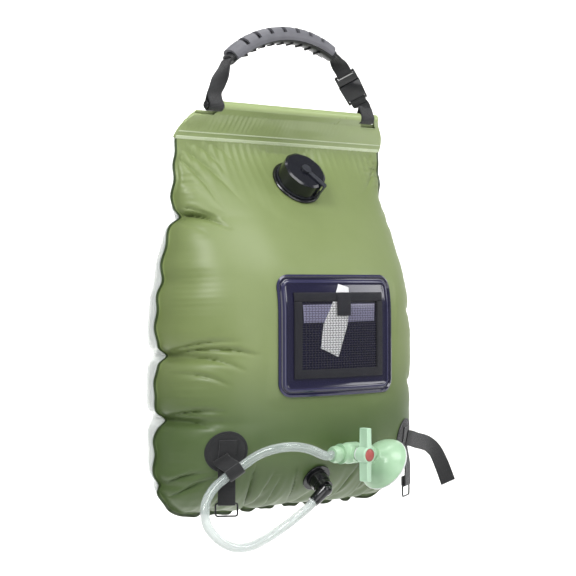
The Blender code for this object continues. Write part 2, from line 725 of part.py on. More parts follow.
def filler_cap():
    """A ten-sided screw cap with softened corners and a stepped top."""
    foot, _, ceiling = cap_heights()
    top = ceiling + CAP_WALL
    bm = bmesh.new()
    rod_mesh(bm, CAP_RADIUS, foot, top, CAP_SIDES)
    upright = [e for e in bm.edges if abs(e.verts[0].co.z - e.verts[1].co.z) > NECK_HEIGHT / 2]
    bmesh.ops.bevel(bm, geom=upright, offset=CAP_CORNER, segments=2, profile=0.5, affect="EDGES", material=-1)
    bm.normal_update()
    lid = [f for f in bm.faces if f.calc_center_median().z > top - GAP and f.normal.z > 0.9]
    bmesh.ops.inset_region(bm, faces=lid, thickness=CAP_STEP_IN, depth=0)
    for vert in {v for f in lid for v in f.verts}:
        vert.co.z += CAP_STEP_UP
    obj = part("filler_cap", bm, NECK_FRAME, SLATE)
    tool = bmesh.new()
    rod_mesh(tool, NECK_RADIUS + RUNNING_GAP, foot - OVERRUN, ceiling)
    boolean(obj, cutter("cap_bore_cut", tool, NECK_FRAME), "DIFFERENCE")
    tool = bmesh.new()
    lid_top = top + CAP_STEP_UP
    rod_mesh(tool, BUTTON_STEM + RUNNING_GAP, lid_top - BUTTON_RECESS - GAP, lid_top + OVERRUN, 20)
    boolean(obj, cutter("cap_button_cut", tool, NECK_FRAME), "DIFFERENCE")


def cap_gasket():
    _, low, _ = cap_heights()
    high = low + GASKET_THICKNESS
    turned("cap_gasket", [(NECK_BORE, high), (NECK_RADIUS, high), (NECK_RADIUS, low), (NECK_BORE, low)],
           NECK_FRAME, RUBBER, 24)


def cap_leash():
    """A ring loose on the neck, an arm outside the cap and a button in the cap's top, moulded as one."""
    low = 2 * GAP + FLANGE_THICKNESS
    high = low + LEASH_THICKNESS
    _, _, ceiling = cap_heights()
    over = ceiling + CAP_WALL + CAP_STEP_UP + GAP
    inner = NECK_RADIUS + RUNNING_GAP
    obj = turned("cap_leash", [(inner, high), (CAP_RADIUS, high), (CAP_RADIUS, low), (inner, low)], NECK_FRAME, BLACK)
    along = Vector((math.cos(LEASH_ANGLE), math.sin(LEASH_ANGLE), 0))
    side = Vector((-along.y, along.x, 0))
    up = Vector((0, 0, 1))
    half = LEASH_THICKNESS / 2
    outer = CAP_RADIUS + 2 * GAP + half
    arm = [along * (inner + half) + up * (low + half), along * outer + up * (low + half),
           along * (outer + half) + up * (low + 3 * half), along * (outer + half) + up * (over - half),
           along * outer + up * (over + half), up * (over + half)]
    bm = bmesh.new()
    bmesh.ops.create_grid(bm, x_segments=2, y_segments=len(arm) - 1, size=1)
    for vert in bm.verts:
        i = round((vert.co.y + 1) / 2 * (len(arm) - 1))
        narrow = 1 - 0.3 * i / (len(arm) - 1)
        vert.co = arm[i] + side * (vert.co.x * LEASH_ARM_WIDTH / 2 * narrow)
    strip = cutter("leash_arm_join", bm, NECK_FRAME)
    solidify(strip, LEASH_THICKNESS, 0)
    boolean(obj, strip, "UNION")
    tool = bmesh.new()
    rod_mesh(tool, BUTTON_RADIUS, over - GAP / 4, over + BUTTON_DOME, 20)
    boolean(obj, cutter("leash_button_join", tool, NECK_FRAME), "UNION")
    tool = bmesh.new()
    rod_mesh(tool, BUTTON_STEM, over - BUTTON_RECESS, over + half, 20)
    boolean(obj, cutter("leash_stem_join", tool, NECK_FRAME), "UNION")


# Pocket

def rounded_outline(width, height, corner, corner_steps=4):
    """Points round a rectangle with round corners, centred, as (x, z)."""
    points = []
    for quarter in range(4):
        sx = 1 if quarter in (0, 3) else -1
        sz = 1 if quarter in (0, 1) else -1
        for i in range(corner_steps + 1):
            angle = math.pi / 2 * (quarter + i / corner_steps)
            points.append((sx * (width / 2 - corner) + corner * math.cos(angle),
                           sz * (height / 2 - corner) + corner * math.sin(angle)))
    return points


def draped(name, outline, x, down, off, thickness, mat, lean=0.0, step=DRAPE_STEP):
    """A flat outline laid on the front panel: cut into cells, then bent to the panel and thickened."""
    bm = bmesh.new()
    spin = Matrix.Rotation(lean, 2)
    flat = [spin @ Vector(point) for point in outline]
    bm.faces.new([bm.verts.new((px, 0, pz)) for px, pz in flat])
    reach = max(abs(c) for point in flat for c in point)
    count = math.ceil(reach / step)
    for i in range(-count, count + 1):
        for axis in ((1, 0, 0), (0, 0, 1)):
            geom = list(bm.verts) + list(bm.edges) + list(bm.faces)
            place = Vector(axis) * (i * step + step / 3)
            bmesh.ops.bisect_plane(bm, geom=geom, dist=MERGE, plane_co=place, plane_no=axis)
    bend_to_front(name, bm, x, down, off, thickness, mat)


def bend_to_front(name, bm, x, down, off, thickness, mat):
    bmesh.ops.remove_doubles(bm, verts=bm.verts, dist=5 * MERGE)
    for vert in bm.verts:
        vert.co = on_front(x + vert.co.x, down - vert.co.z, off)
    for face in bm.faces:
        face.normal_update()
        if face.normal.y > 0:
            face.normal_flip()
    obj = part(name, bm, BAG_FRAME, mat)
    solidify(obj, thickness, 1)


def pocket():
    """A gloss panel, a binding round three sides of the net, the mouth's band, the net, a card and a tab."""
    net_off = ON_POCKET + CARD_THICKNESS + GAP
    tab_off = ON_POCKET + BINDING_THICKNESS + GAP
    draped("pocket_panel", rounded_outline(POCKET_WIDTH, POCKET_HEIGHT, POCKET_CORNER), POCKET_X, POCKET_DOWN,
           GAP, SHEET, GLOSS)
    half = BINDING_WIDTH / 2
    inner = half - BINDING_BAND
    low = -BINDING_HEIGHT / 2
    high = BINDING_HEIGHT / 2 - BINDING_BAND - GAP
    frame = [(-half, low), (half, low), (half, high), (inner, high), (inner, low + BINDING_BAND),
             (-inner, low + BINDING_BAND), (-inner, high), (-half, high)]
    draped("pocket_binding", frame, POCKET_X, POCKET_DOWN, ON_POCKET, BINDING_THICKNESS, WEBBING)
    mouth_down = POCKET_DOWN - BINDING_HEIGHT / 2 + BINDING_BAND / 2
    draped("pocket_mouth_band", rounded_outline(BINDING_WIDTH, BINDING_BAND, BINDING_CORNER, 1), POCKET_X,
           mouth_down, net_off, BINDING_THICKNESS - CARD_THICKNESS - GAP, WEBBING)
    pocket_net(net_off, 2 * inner - 2 * GAP, BINDING_HEIGHT - 2 * BINDING_BAND - 2 * GAP)
    draped("pocket_card", rounded_outline(CARD_WIDTH, CARD_HEIGHT, CARD_CORNER, 1), POCKET_X + CARD_X,
           POCKET_DOWN - CARD_RISE, ON_POCKET, CARD_THICKNESS, CARD, CARD_LEAN)
    draped("pocket_tab", rounded_outline(TAB_WIDTH, TAB_HEIGHT, TAB_CORNER, 2), POCKET_X + TAB_X,
           mouth_down + TAB_HEIGHT / 3, tab_off, SHEET, WEBBING)


def pocket_net(off, width, height):
    """A flat net: a diamond lattice with one gap to each cell, inside a thin selvedge."""
    bm = bmesh.new()
    bmesh.ops.create_grid(bm, x_segments=NET_COLUMNS, y_segments=NET_ROWS, size=1)
    for vert in bm.verts:
        row = round((vert.co.y + 1) / 2 * NET_ROWS)
        column = round((vert.co.x + 1) / 2 * NET_COLUMNS)
        shift = 0.5 if row % 2 and 0 < column < NET_COLUMNS else 0
        share = (column + shift) / NET_COLUMNS
        vert.co = Vector(((share - 0.5) * width, 0, vert.co.y * height / 2))
    bm.normal_update()
    gaps = list(bm.faces)
    bmesh.ops.inset_individual(bm, faces=gaps, thickness=NET_STRAND / 2, depth=0)
    bmesh.ops.delete(bm, geom=gaps, context="FACES")
    bend_to_front("pocket_net", bm, POCKET_X, POCKET_DOWN, off, NET_THICKNESS, NET)


# Strap patches

def disc_outline(radius, steps=20):
    return [(radius * math.cos(2 * math.pi * i / steps), radius * math.sin(2 * math.pi * i / steps))
            for i in range(steps)]


def strap_ring(name, bar, side):
    """A rectangular wire ring that hangs by its top bar. The bar's middle is the ring's own origin."""
    curve = bpy.data.curves.new(name, "CURVE")
    curve.dimensions = "3D"
    curve.bevel_depth = RING_WIRE
    curve.bevel_resolution = 2
    spline = curve.splines.new("POLY")
    outline = rounded_outline(RING_WIDTH - 2 * RING_WIRE, RING_HEIGHT - 2 * RING_WIRE, RING_CORNER, 2)
    spline.points.add(len(outline) - 1)
    for point, (px, pz) in zip(spline.points, outline):
        point.co = (px, 0, pz - RING_HEIGHT / 2 + RING_WIRE, 1)
    spline.use_cyclic_u = True
    obj = bpy.data.objects.new(name, curve)
    obj.parent = BAG_FRAME
    obj.matrix_local = Matrix.Translation(bar) @ frame_axes((0, 0, 1), side).to_4x4()
    curve.materials.append(BLACK)
    PARTS.objects.link(obj)


def ring_strap(label, side):
    """The short end: sewn to the patch, hanging straight down and folded round the ring's top bar."""
    x = side * PATCH_X
    normal = front_normal(x, PATCH_DOWN)
    across = Vector((0, 0, 1)).cross(normal).normalized()
    level = Vector((normal.x, normal.y, 0)).normalized()
    sewn = [on_front(x, PATCH_DOWN - SEWN_RISE + SEWN_PITCH * i, ON_PATCH) for i in range(4)]
    hang = [sewn[-1] + Vector((0, 0, -RING_STRAP_DROP * share)) + level * RING_STRAP_OUT * smooth(share * 2)
            for share in (0.25, 0.5, 0.75, 1)]
    reach = RING_WIRE + GAP + STRAP_THICKNESS / 2
    bar = hang[-1] - level * reach
    fold = wrap(bar, across, level, reach, math.pi, 6)
    back = [fold[-1] + Vector((0, 0, RING_STRAP_BACK))]
    stations = [(p, across) for p in sewn + hang[:-1] + fold + back]
    ribbon(f"{label}_ring_strap", stations, STRAP_WIDTH, STRAP_THICKNESS, BAG_FRAME, WEBBING)
    strap_ring(f"{label}_ring", bar, across)


def straps():
    for label, side in (("left", -1), ("right", 1)):
        draped(f"{label}_patch", disc_outline(PATCH_RADIUS), side * PATCH_X, PATCH_DOWN, GAP, PATCH_THICKNESS,
               WEBBING, step=PATCH_STEP)
        ring_strap(label, side)
    hose_strap()
    open_strap()


def hose_strap():
    """The long end of the left strap, sewn to the patch above the hose and closed over it."""
    first, last = HOSE_LINE[STRAP_STRETCH:STRAP_STRETCH + 2]
    centre = (first + last) / 2
    along = (last - first).normalized()
    normal = front_normal(centre.x, -centre.z)
    over = (normal - along * normal.dot(along)).normalized()
    back = over.cross(along)
    reach = HOSE_RADIUS + 3 * GAP + STRAP_THICKNESS / 2
    arc = wrap(centre, along, back, reach, math.pi, 8)
    stations = []
    for far in (HUG_TAIL, HUG_FOOT):
        place = lay_on_front(centre + back * (reach + far), ON_RING_STRAP + HUG_CLEARANCE)
        face = front_normal(place.x, -place.z)
        stations.append((place, (along - face * along.dot(face)).normalized()))
    stations += [(p, along) for p in arc]
    ribbon("left_hose_strap", stations, STRAP_WIDTH, STRAP_THICKNESS, BAG_FRAME, WEBBING)


def open_strap():
    """The long end of the right strap, open: it stands out from the patch and droops."""
    start = on_front(PATCH_X, PATCH_DOWN, ON_RING_STRAP)
    reach = Vector((OPEN_STRAP_REACH, OPEN_STRAP_DEPTH, -OPEN_STRAP_FALL))
    points = [start + Vector([r * s for r, s in zip(reach, shares)]) for shares in OPEN_STRAP_SHARES]
    normal = front_normal(PATCH_X, PATCH_DOWN)
    stations = []
    for i, point in enumerate(points):
        way = (points[min(i + 1, len(points) - 1)] - points[max(i - 1, 0)]).normalized()
        face = normal.lerp(OPEN_STRAP_FACE, smooth(i / (len(points) - 1)))
        stations.append((point, way.cross(face).normalized()))
    ribbon("right_strap_tail", stations, STRAP_WIDTH, STRAP_THICKNESS, BAG_FRAME, WEBBING)


# Outlet and hose

def outlet_heights():
    """Heights of the flange's top, the gasket's foot, the nut's foot and head and the elbow's foot."""
    top = GAP + OUTLET_FLANGE_THICKNESS
    nut = top + GAP + GASKET_THICKNESS + GAP
    return top, top + GAP, nut, nut + OUTLET_NUT_LENGTH, nut + OUTLET_NUT_LENGTH + GAP


def outlet():
    """Flange and spigot on the panel, a ribbed nut over it and an elbow whose tail turns down to the hose."""
    top, gasket, foot, head, start = outlet_heights()
    turned("outlet_flange", [(0, top + SPIGOT_LENGTH), (SPIGOT_RADIUS, top + SPIGOT_LENGTH), (SPIGOT_RADIUS, top),
                             (OUTLET_FLANGE, top), (OUTLET_FLANGE, GAP), (0, GAP)], OUTLET_FRAME, BLACK, 28)
    inner = SPIGOT_RADIUS + RUNNING_GAP
    high = gasket + GASKET_THICKNESS
    turned("outlet_gasket", [(inner, high), (OUTLET_NUT_RADIUS, high), (OUTLET_NUT_RADIUS, gasket), (inner, gasket)],
           OUTLET_FRAME, RUBBER, 28)
    bm = bmesh.new()
    rod_mesh(bm, OUTLET_NUT_RADIUS, foot, head, 4 * OUTLET_RIBS)
    for vert in bm.verts:
        angle = math.atan2(vert.co.y, vert.co.x)
        share = 1 - 0.045 * (1 + math.cos(OUTLET_RIBS * angle)) / 2
        if vert.co.z > (foot + head) / 2:
            share *= 0.93
        vert.co.x *= share
        vert.co.y *= share
    nut = part("outlet_nut", bm, OUTLET_FRAME, BLACK)
    tool = bmesh.new()
    rod_mesh(tool, inner, foot - OVERRUN, head + OVERRUN, 28)
    boolean(nut, cutter("nut_bore_cut", tool, OUTLET_FRAME), "DIFFERENCE")

    centre = start + ELBOW_RADIUS
    ball = bmesh.new()
    bmesh.ops.create_uvsphere(ball, u_segments=22, v_segments=12, radius=ELBOW_RADIUS * 1.12,
                              matrix=Matrix.Translation((0, 0, centre)))
    elbow = part("outlet_elbow", ball, OUTLET_FRAME, BLACK)
    tool = bmesh.new()
    rod_mesh(tool, ELBOW_RADIUS, 0, ELBOW_TAIL, 22, frame_axes(TAIL_OUT, (1, 0, 0)), (0, 0, centre),
             ELBOW_RADIUS * 0.9)
    boolean(elbow, cutter("elbow_tail_join", tool, OUTLET_FRAME), "UNION")
    tool = bmesh.new()
    rod_mesh(tool, OUTLET_NUT_RADIUS * 0.86, start, start + ELBOW_RADIUS * 0.8, 22)
    boolean(elbow, cutter("elbow_base_join", tool, OUTLET_FRAME), "UNION")


def hose_curve():
    """A smooth curve through the route, square to the elbow and the collar, as close points."""
    centre = outlet_heights()[-1] + ELBOW_RADIUS
    tail = OUTLET_PLACE + OUTLET_TURN @ (Vector((0, 0, centre)) + TAIL_OUT * (ELBOW_TAIL + GAP))
    tail_way = OUTLET_TURN @ TAIL_OUT
    head_way = Matrix.Rotation(HANDSET_YAW, 3, "Z") @ Vector((1, 0, 0))
    head = HANDSET_PLACE - head_way * (VALVE_BACK + COLLAR_LENGTH + 2 * GAP)
    lead = 2 * HOSE_RADIUS
    knots = [tail, tail + tail_way * lead] + [Vector(p) for p in HOSE_ROUTE] + [head - head_way * lead, head]
    curve = bpy.data.curves.new("hose_guide", "CURVE")
    curve.dimensions = "3D"
    curve.resolution_u = 12
    spline = curve.splines.new("BEZIER")
    spline.bezier_points.add(len(knots) - 1)
    for point, knot in zip(spline.bezier_points, knots):
        point.co = knot
        point.handle_left_type = "AUTO"
        point.handle_right_type = "AUTO"
    guide = bpy.data.objects.new("hose_guide", curve)
    CUTTERS.objects.link(guide)
    fine = [v.co.copy() for v in guide.to_mesh().vertices]
    bpy.data.objects.remove(guide)
    return fine


def even_marks(start, end):
    count = max(round((end - start) / (HOSE_STEP_SHARE * HOSE_RADIUS)), 1)
    return [start + (end - start) * i / count for i in range(count + 1)]


def hose_line():
    """The hose's middle line, with straight ends and a straight stretch in the strap, and that stretch's place."""
    fine = hose_curve()
    run = [0]
    for first, second in zip(fine, fine[1:]):
        run.append(run[-1] + (second - first).length)
    crossing = (Vector(HOSE_ROUTE[STRAP_KNOT]) + Vector(HOSE_ROUTE[STRAP_KNOT + 1])) / 2
    middle = run[min(range(len(fine)), key=lambda k: (fine[k] - crossing).length)]
    lead = 2 * HOSE_RADIUS
    half = STRAP_WIDTH / 2 + STRAP_THICKNESS
    before = [0] + even_marks(lead, middle - half)
    marks = before + even_marks(middle + half, run[-1] - lead)
    points = [fine[0]]
    k = 0
    for far in marks[1:]:
        while run[k + 1] < far:
            k += 1
        points.append(fine[k].lerp(fine[k + 1], (far - run[k]) / (run[k + 1] - run[k])))
    return points + [fine[-1]], len(before) - 1


def hose():
    """The clear hose from the elbow's tail, through the left strap, to the handset's collar."""
    curve = bpy.data.curves.new("hose", "CURVE")
    curve.dimensions = "3D"
    curve.bevel_depth = HOSE_RADIUS
    curve.bevel_resolution = 4
    curve.use_fill_caps = True
    spline = curve.splines.new("POLY")
    spline.points.add(len(HOSE_LINE) - 1)
    for point, place in zip(spline.points, HOSE_LINE):
        point.co = (*place, 1)
    obj = bpy.data.objects.new("hose", curve)
    obj.parent = BAG_FRAME
    curve.materials.append(HOSE)
    PARTS.objects.link(obj)


# Handset

def hose_collar():
    top = -VALVE_BACK - GAP
    foot = top - COLLAR_LENGTH
    waist = COLLAR_RADIUS * 0.86
    turned("hose_collar", [(0, top), (waist, top), (waist, foot + 2 * COLLAR_LIP),
                           (COLLAR_RADIUS, foot + 2 * COLLAR_LIP), (COLLAR_RADIUS, foot + COLLAR_LIP),
                           (waist, foot + COLLAR_LIP / 2), (waist, foot), (0, foot)], BARREL_FRAME, MINT, 28)


def valve_body():
    """A stepped barrel, the bent neck for the rose and a bonnet round the spindle."""
    back = -VALVE_BACK
    body = turned("valve_body", [(0, ROSE_NECK), (VALVE_NECK * 0.97, ROSE_NECK), (VALVE_NECK * 0.97, ROSE_NECK * 0.72),
                                 (VALVE_RADIUS, ROSE_NECK * 0.35), (VALVE_RADIUS, back * 0.3),
                                 (VALVE_RADIUS * 0.93, back * 0.36), (VALVE_RADIUS * 0.86, back * 0.80),
                                 (VALVE_RADIUS * 0.95, back * 0.84), (VALVE_RADIUS * 0.95, back), (0, back)],
                  BARREL_FRAME, MINT, 28)
    tool = bmesh.new()
    bmesh.ops.create_uvsphere(tool, u_segments=22, v_segments=12, radius=VALVE_NECK,
                              matrix=Matrix.Translation((0, 0, ROSE_NECK)))
    boolean(body, cutter("valve_bend_join", tool, BARREL_FRAME), "UNION")
    tool = bmesh.new()
    rod_mesh(tool, VALVE_NECK * 0.92, 0, NECK_RUN, 22)
    boolean(body, cutter("valve_neck_join", tool, ROSE_FRAME), "UNION")
    tool = bmesh.new()
    rod_mesh(tool, HUB_RADIUS * 0.93, 0, HUB_BACK - GLAND_THICKNESS - 2 * GAP, 26)
    boolean(body, cutter("valve_bonnet_join", tool, TAP_FRAME), "UNION")
    tool = bmesh.new()
    rod_mesh(tool, SPINDLE_RADIUS + RUNNING_GAP, -SPINDLE_DEPTH, HUB_BACK, 20)
    boolean(body, cutter("valve_spindle_cut", tool, TAP_FRAME), "DIFFERENCE")


def dome(ball, centre, inner, outer, steps=5):
    """Profile points on a ball, from one radius out to another."""
    low = math.asin(inner / ball)
    high = math.asin(outer / ball)
    angles = [low + (high - low) * i / steps for i in range(steps + 1)]
    return [(ball * math.sin(a), centre - ball * math.cos(a)) for a in angles]


def rose():
    """A domed shell round the bent neck and the white plate that closes it."""
    ball = (ROSE_RADIUS ** 2 + ROSE_DEPTH ** 2) / (2 * ROSE_DEPTH)
    foot = NECK_RUN + GAP
    face = foot + ROSE_DEPTH
    centre = foot + ball
    throat = VALVE_NECK - ROSE_WALL
    outer = dome(ball, centre, VALVE_NECK + ROSE_WALL, ROSE_RADIUS)
    inner = dome(ball - ROSE_WALL, centre, throat, ROSE_RADIUS * (1 - ROSE_WALL / ball))
    inner[-1] = (inner[-1][0], face)
    profile = outer[::-1] + [(VALVE_NECK + ROSE_WALL, foot), (throat, foot)] + inner
    turned("rose_shell", profile, ROSE_FRAME, MINT)
    low = face + GAP
    high = low + PLATE_THICKNESS
    turned("rose_plate", [(0, high), (ROSE_RADIUS * 0.94, high), (ROSE_RADIUS, high - PLATE_THICKNESS / 4),
                          (ROSE_RADIUS, low), (0, low)], ROSE_FRAME, WHITE)


def wing_pair():
    """Two flat wings with a sunk panel on each face, standing out from the hub along X."""
    long = WING_REACH - HUB_RADIUS / 2
    wings = bmesh.new()
    for side in (-1, 1):
        bm = bmesh.new()
        for vert in box(bm, (long, WING_THICKNESS, WING_DEPTH)):
            if vert.co.x > 0:
                vert.co.z *= 0.92
        bevel_all(bm, WING_EDGE)
        faces = [f for f in bm.faces if abs(f.normal.y) > 0.99]
        bmesh.ops.inset_individual(bm, faces=faces, thickness=WING_EDGE, depth=0)
        for vert in {v for f in faces for v in f.verts}:
            vert.co.y -= math.copysign(WING_PANEL_DEPTH, vert.co.y)
        place = Matrix.Translation((side * (HUB_RADIUS / 2 + long / 2), 0, HUB_BACK + GAP + WING_DEPTH / 2))
        bm.transform(place @ Matrix.Rotation(0 if side > 0 else math.pi, 4, "Z"))
        mesh = bpy.data.meshes.new("wing")
        bm.to_mesh(mesh)
        bm.free()
        wings.from_mesh(mesh)
        bpy.data.meshes.remove(mesh)
    return wings


def tap():
    """Spindle, gland, T-shaped handle and red cap, all on the spindle's axis."""
    front = HUB_BACK + HUB_LENGTH
    pin = HUB_BACK + HUB_LENGTH * 0.6
    foot = GAP - SPINDLE_DEPTH
    inner = SPINDLE_RADIUS + RUNNING_GAP
    turned("tap_spindle", [(0, pin), (SPINDLE_RADIUS, pin), (SPINDLE_RADIUS, foot), (0, foot)], TAP_FRAME, WHITE, 20)
    low = HUB_BACK - GAP - GLAND_THICKNESS
    high = HUB_BACK - GAP
    turned("tap_gland", [(inner, high), (GLAND_RADIUS, high), (GLAND_RADIUS, low), (inner, low)], TAP_FRAME, WHITE, 24)
    handle = turned("tap_handle", [(0, front), (HUB_RADIUS * 0.92, front), (HUB_RADIUS, front - HUB_RECESS),
                                   (HUB_RADIUS, HUB_BACK), (0, HUB_BACK)], TAP_FRAME, PALE, 28)
    boolean(handle, cutter("tap_wing_join", wing_pair(), TAP_FRAME), "UNION")
    tool = bmesh.new()
    rod_mesh(tool, inner, HUB_BACK - OVERRUN, pin + GAP, 20)
    boolean(handle, cutter("tap_bore_cut", tool, TAP_FRAME), "DIFFERENCE")
    tool = bmesh.new()
    rod_mesh(tool, RED_CAP_RADIUS + GAP, front - HUB_RECESS, front + OVERRUN, 28)
    boolean(handle, cutter("tap_recess_cut", tool, TAP_FRAME), "DIFFERENCE")
    seat = front - HUB_RECESS + GAP
    turned("tap_cap", [(0, seat + RED_CAP_DOME), (RED_CAP_RADIUS * 0.75, seat + RED_CAP_DOME * 0.85),
                       (RED_CAP_RADIUS, seat + RED_CAP_DOME * 0.5), (RED_CAP_RADIUS, seat), (0, seat)],
           TAP_FRAME, RED, 24)


def main():
    front_panel()
    bag_panel("back_panel", 1, CLEAR)
    hem_sleeve()
    hem_rod()
    webbing()
    grip_core()
    grip_cover()
    buckle_female()
    buckle_male()
    filler_flange()
    filler_cap()
    cap_gasket()
    cap_leash()
    pocket()
    straps()
    outlet()
    hose()
    hose_collar()
    valve_body()
    rose()
    tap()


clear_scene()
PARTS = new_collection("camp_shower_bag")
CUTTERS = new_collection("cutters")
GREEN = material("green_pvc", (0.27, 0.36, 0.15), 0.35)
CLEAR = material("clear_pvc", (0.90, 0.93, 0.92), 0.15, 0.5)
BLACK = material("black_moulding", (0.015, 0.015, 0.018), 0.3)
SLATE = material("slate_moulding", (0.035, 0.035, 0.05), 0.35)
GREY = material("grey_overmould", (0.45, 0.46, 0.47), 0.6)
WEBBING = material("black_webbing", (0.02, 0.02, 0.022), 0.85)
GLOSS = material("gloss_black_pvc", (0.012, 0.01, 0.03), 0.12)
NET = material("black_net", (0.01, 0.01, 0.01), 0.8)
CARD = material("white_card", (0.85, 0.85, 0.85), 0.6)
RUBBER = material("black_rubber", (0.02, 0.02, 0.02), 0.7)
MINT = material("mint_plastic", (0.42, 0.72, 0.48), 0.35)
PALE = material("pale_mint_plastic", (0.62, 0.85, 0.62), 0.35)
WHITE = material("white_plastic", (0.85, 0.87, 0.86), 0.3)
RED = material("red_plastic", (0.48, 0.12, 0.10), 0.4)
HOSE = material("clear_hose", (0.85, 0.92, 0.90), 0.08, 0.5)

GRIP_RADIUS = (GRIP_CHORD ** 2 / 4 + GRIP_RISE ** 2) / (2 * GRIP_RISE)
GRIP_HALF_ANGLE = math.asin(GRIP_CHORD / 2 / GRIP_RADIUS)
GRIP_MIDDLE = GRIP_CORE_HEIGHT / 2 + GRIP_RIB_HEIGHT
LEFT_WEB_X = LEFT_WEB_INSET + WEB_WIDTH / 2 - HEM_HALF
RIGHT_WEB_X = HEM_HALF - RIGHT_WEB_INSET - WEB_WIDTH / 2
HEM_FRAME = empty("hem_frame", None, HEM)
SWING_FRAME = empty("swing_frame", None, HEM - Vector((0, 0, ROD_DOWN)))
BAG_FRAME = empty("bag_frame", SWING_FRAME, (0, 0, ROD_DOWN))
GRIP_FRAME = empty("grip_frame", None, Vector((0, 0, GRIP_MIDDLE)), Matrix.Rotation(-GRIP_TILT, 3, "Y"))

STRAP_TOP = grip_end(1)[0]
STRAP_FOOT = Vector((RIGHT_WEB_X, 0, -ROD_DOWN))
BUCKLE_UP = (STRAP_TOP - STRAP_FOOT).normalized()
BUCKLE_OUT = BUCKLE_UP.cross(Vector((0, -1, 0)))
BUCKLE_MOUTH = STRAP_TOP.lerp(STRAP_FOOT, BUCKLE_ALONG_SHARE) + BUCKLE_OUT * BUCKLE_BOW
BUCKLE_TURN = frame_axes(BUCKLE_UP, Matrix.Rotation(-BUCKLE_TWIST, 3, BUCKLE_UP) @ BUCKLE_OUT)
BUCKLE_FRAME = empty("buckle_frame", HEM_FRAME, BUCKLE_MOUTH, BUCKLE_TURN)

NECK_OUT = Vector((0, -math.cos(NECK_TILT), math.sin(NECK_TILT)))
NECK_FRAME = empty("neck_frame", BAG_FRAME, on_front(0, NECK_DOWN), frame_axes(NECK_OUT, (1, 0, 0)))
OUTLET_PLACE = on_front(OUTLET_X, OUTLET_DOWN)
OUTLET_TURN = frame_axes(front_normal(OUTLET_X, OUTLET_DOWN), (1, 0, 0))
OUTLET_FRAME = empty("outlet_frame", BAG_FRAME, OUTLET_PLACE, OUTLET_TURN)
TAIL_OUT = OUTLET_TURN.inverted() @ ELBOW_WAY.normalized()
BEHIND_HANDSET = [front_y(HANDSET_X, HANDSET_DOWN + ROSE_RADIUS * share) for share in HANDSET_REACH_SHARES]
HANDSET_Y = min(front_y(HANDSET_X, HANDSET_DOWN) - HANDSET_STAND_OFF, min(BEHIND_HANDSET) - HANDSET_CLEARANCE)
HANDSET_PLACE = Vector((HANDSET_X, HANDSET_Y, -HANDSET_DOWN))
HANDSET_FRAME = empty("handset_frame", BAG_FRAME, HANDSET_PLACE, Matrix.Rotation(HANDSET_YAW, 3, "Z"))
TAP_FRAME = empty("tap_frame", HANDSET_FRAME, (0, 0, 0), frame_axes((0, -1, 0), (0, 0, 1)))
BARREL_FRAME = empty("barrel_frame", HANDSET_FRAME, (0, 0, 0), frame_axes((1, 0, 0), (0, -1, 0)))
ROSE_FRAME = empty("rose_frame", BARREL_FRAME, (0, 0, ROSE_NECK), Matrix.Rotation(-ROSE_DROOP, 3, "X"))
HOSE_LINE, STRAP_STRETCH = hose_line()
main()
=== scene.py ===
import math

import bmesh
import bpy
from mathutils import Matrix, Vector, noise


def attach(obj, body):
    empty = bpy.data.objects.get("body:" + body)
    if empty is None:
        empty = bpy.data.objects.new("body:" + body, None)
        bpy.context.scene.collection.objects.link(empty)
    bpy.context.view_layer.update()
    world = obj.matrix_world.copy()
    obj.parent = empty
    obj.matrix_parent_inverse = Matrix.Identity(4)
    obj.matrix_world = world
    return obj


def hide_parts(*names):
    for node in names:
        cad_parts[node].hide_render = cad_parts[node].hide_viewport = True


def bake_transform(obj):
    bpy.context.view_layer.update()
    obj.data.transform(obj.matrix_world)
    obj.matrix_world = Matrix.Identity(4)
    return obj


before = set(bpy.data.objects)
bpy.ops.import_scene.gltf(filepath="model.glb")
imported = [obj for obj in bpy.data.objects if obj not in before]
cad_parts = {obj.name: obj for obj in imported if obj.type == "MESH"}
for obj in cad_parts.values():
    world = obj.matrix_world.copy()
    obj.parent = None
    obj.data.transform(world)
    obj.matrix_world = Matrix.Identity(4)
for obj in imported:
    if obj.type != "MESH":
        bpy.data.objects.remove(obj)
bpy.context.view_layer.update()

# The view: the bag hangs at eye height and is seen from its front left with a long lens.
# Metres, as in the CAD model: +Z up, the front faces -Y, and the origin is under the grip's crown.
VIEW_TURN = math.radians(-36.65)
VIEW_TILT = math.radians(89.81)


def in_scene(name, data):
    """An object made from its data and linked to the scene."""
    added = bpy.data.objects.new(name, data)
    bpy.context.scene.collection.objects.link(added)
    return added


lens = bpy.data.cameras.new("camera")
lens.lens = 89.9
lens.sensor_width = 36
camera = in_scene("camera", lens)
camera.location = (-1.0395, -1.4148, -0.2907)
camera.rotation_euler = (VIEW_TILT, 0, VIEW_TURN)
bpy.context.scene.camera = camera
bpy.context.scene.view_settings.view_transform = "Standard"


def soft_box(name, place, aim, size, power):
    """A large square light that looks at a point."""
    lamp = bpy.data.lights.new(name, "AREA")
    lamp.size = size
    lamp.energy = power
    light = in_scene(name, lamp)
    light.location = place
    light.rotation_euler = (Vector(aim) - Vector(place)).to_track_quat("-Z", "Y").to_euler()


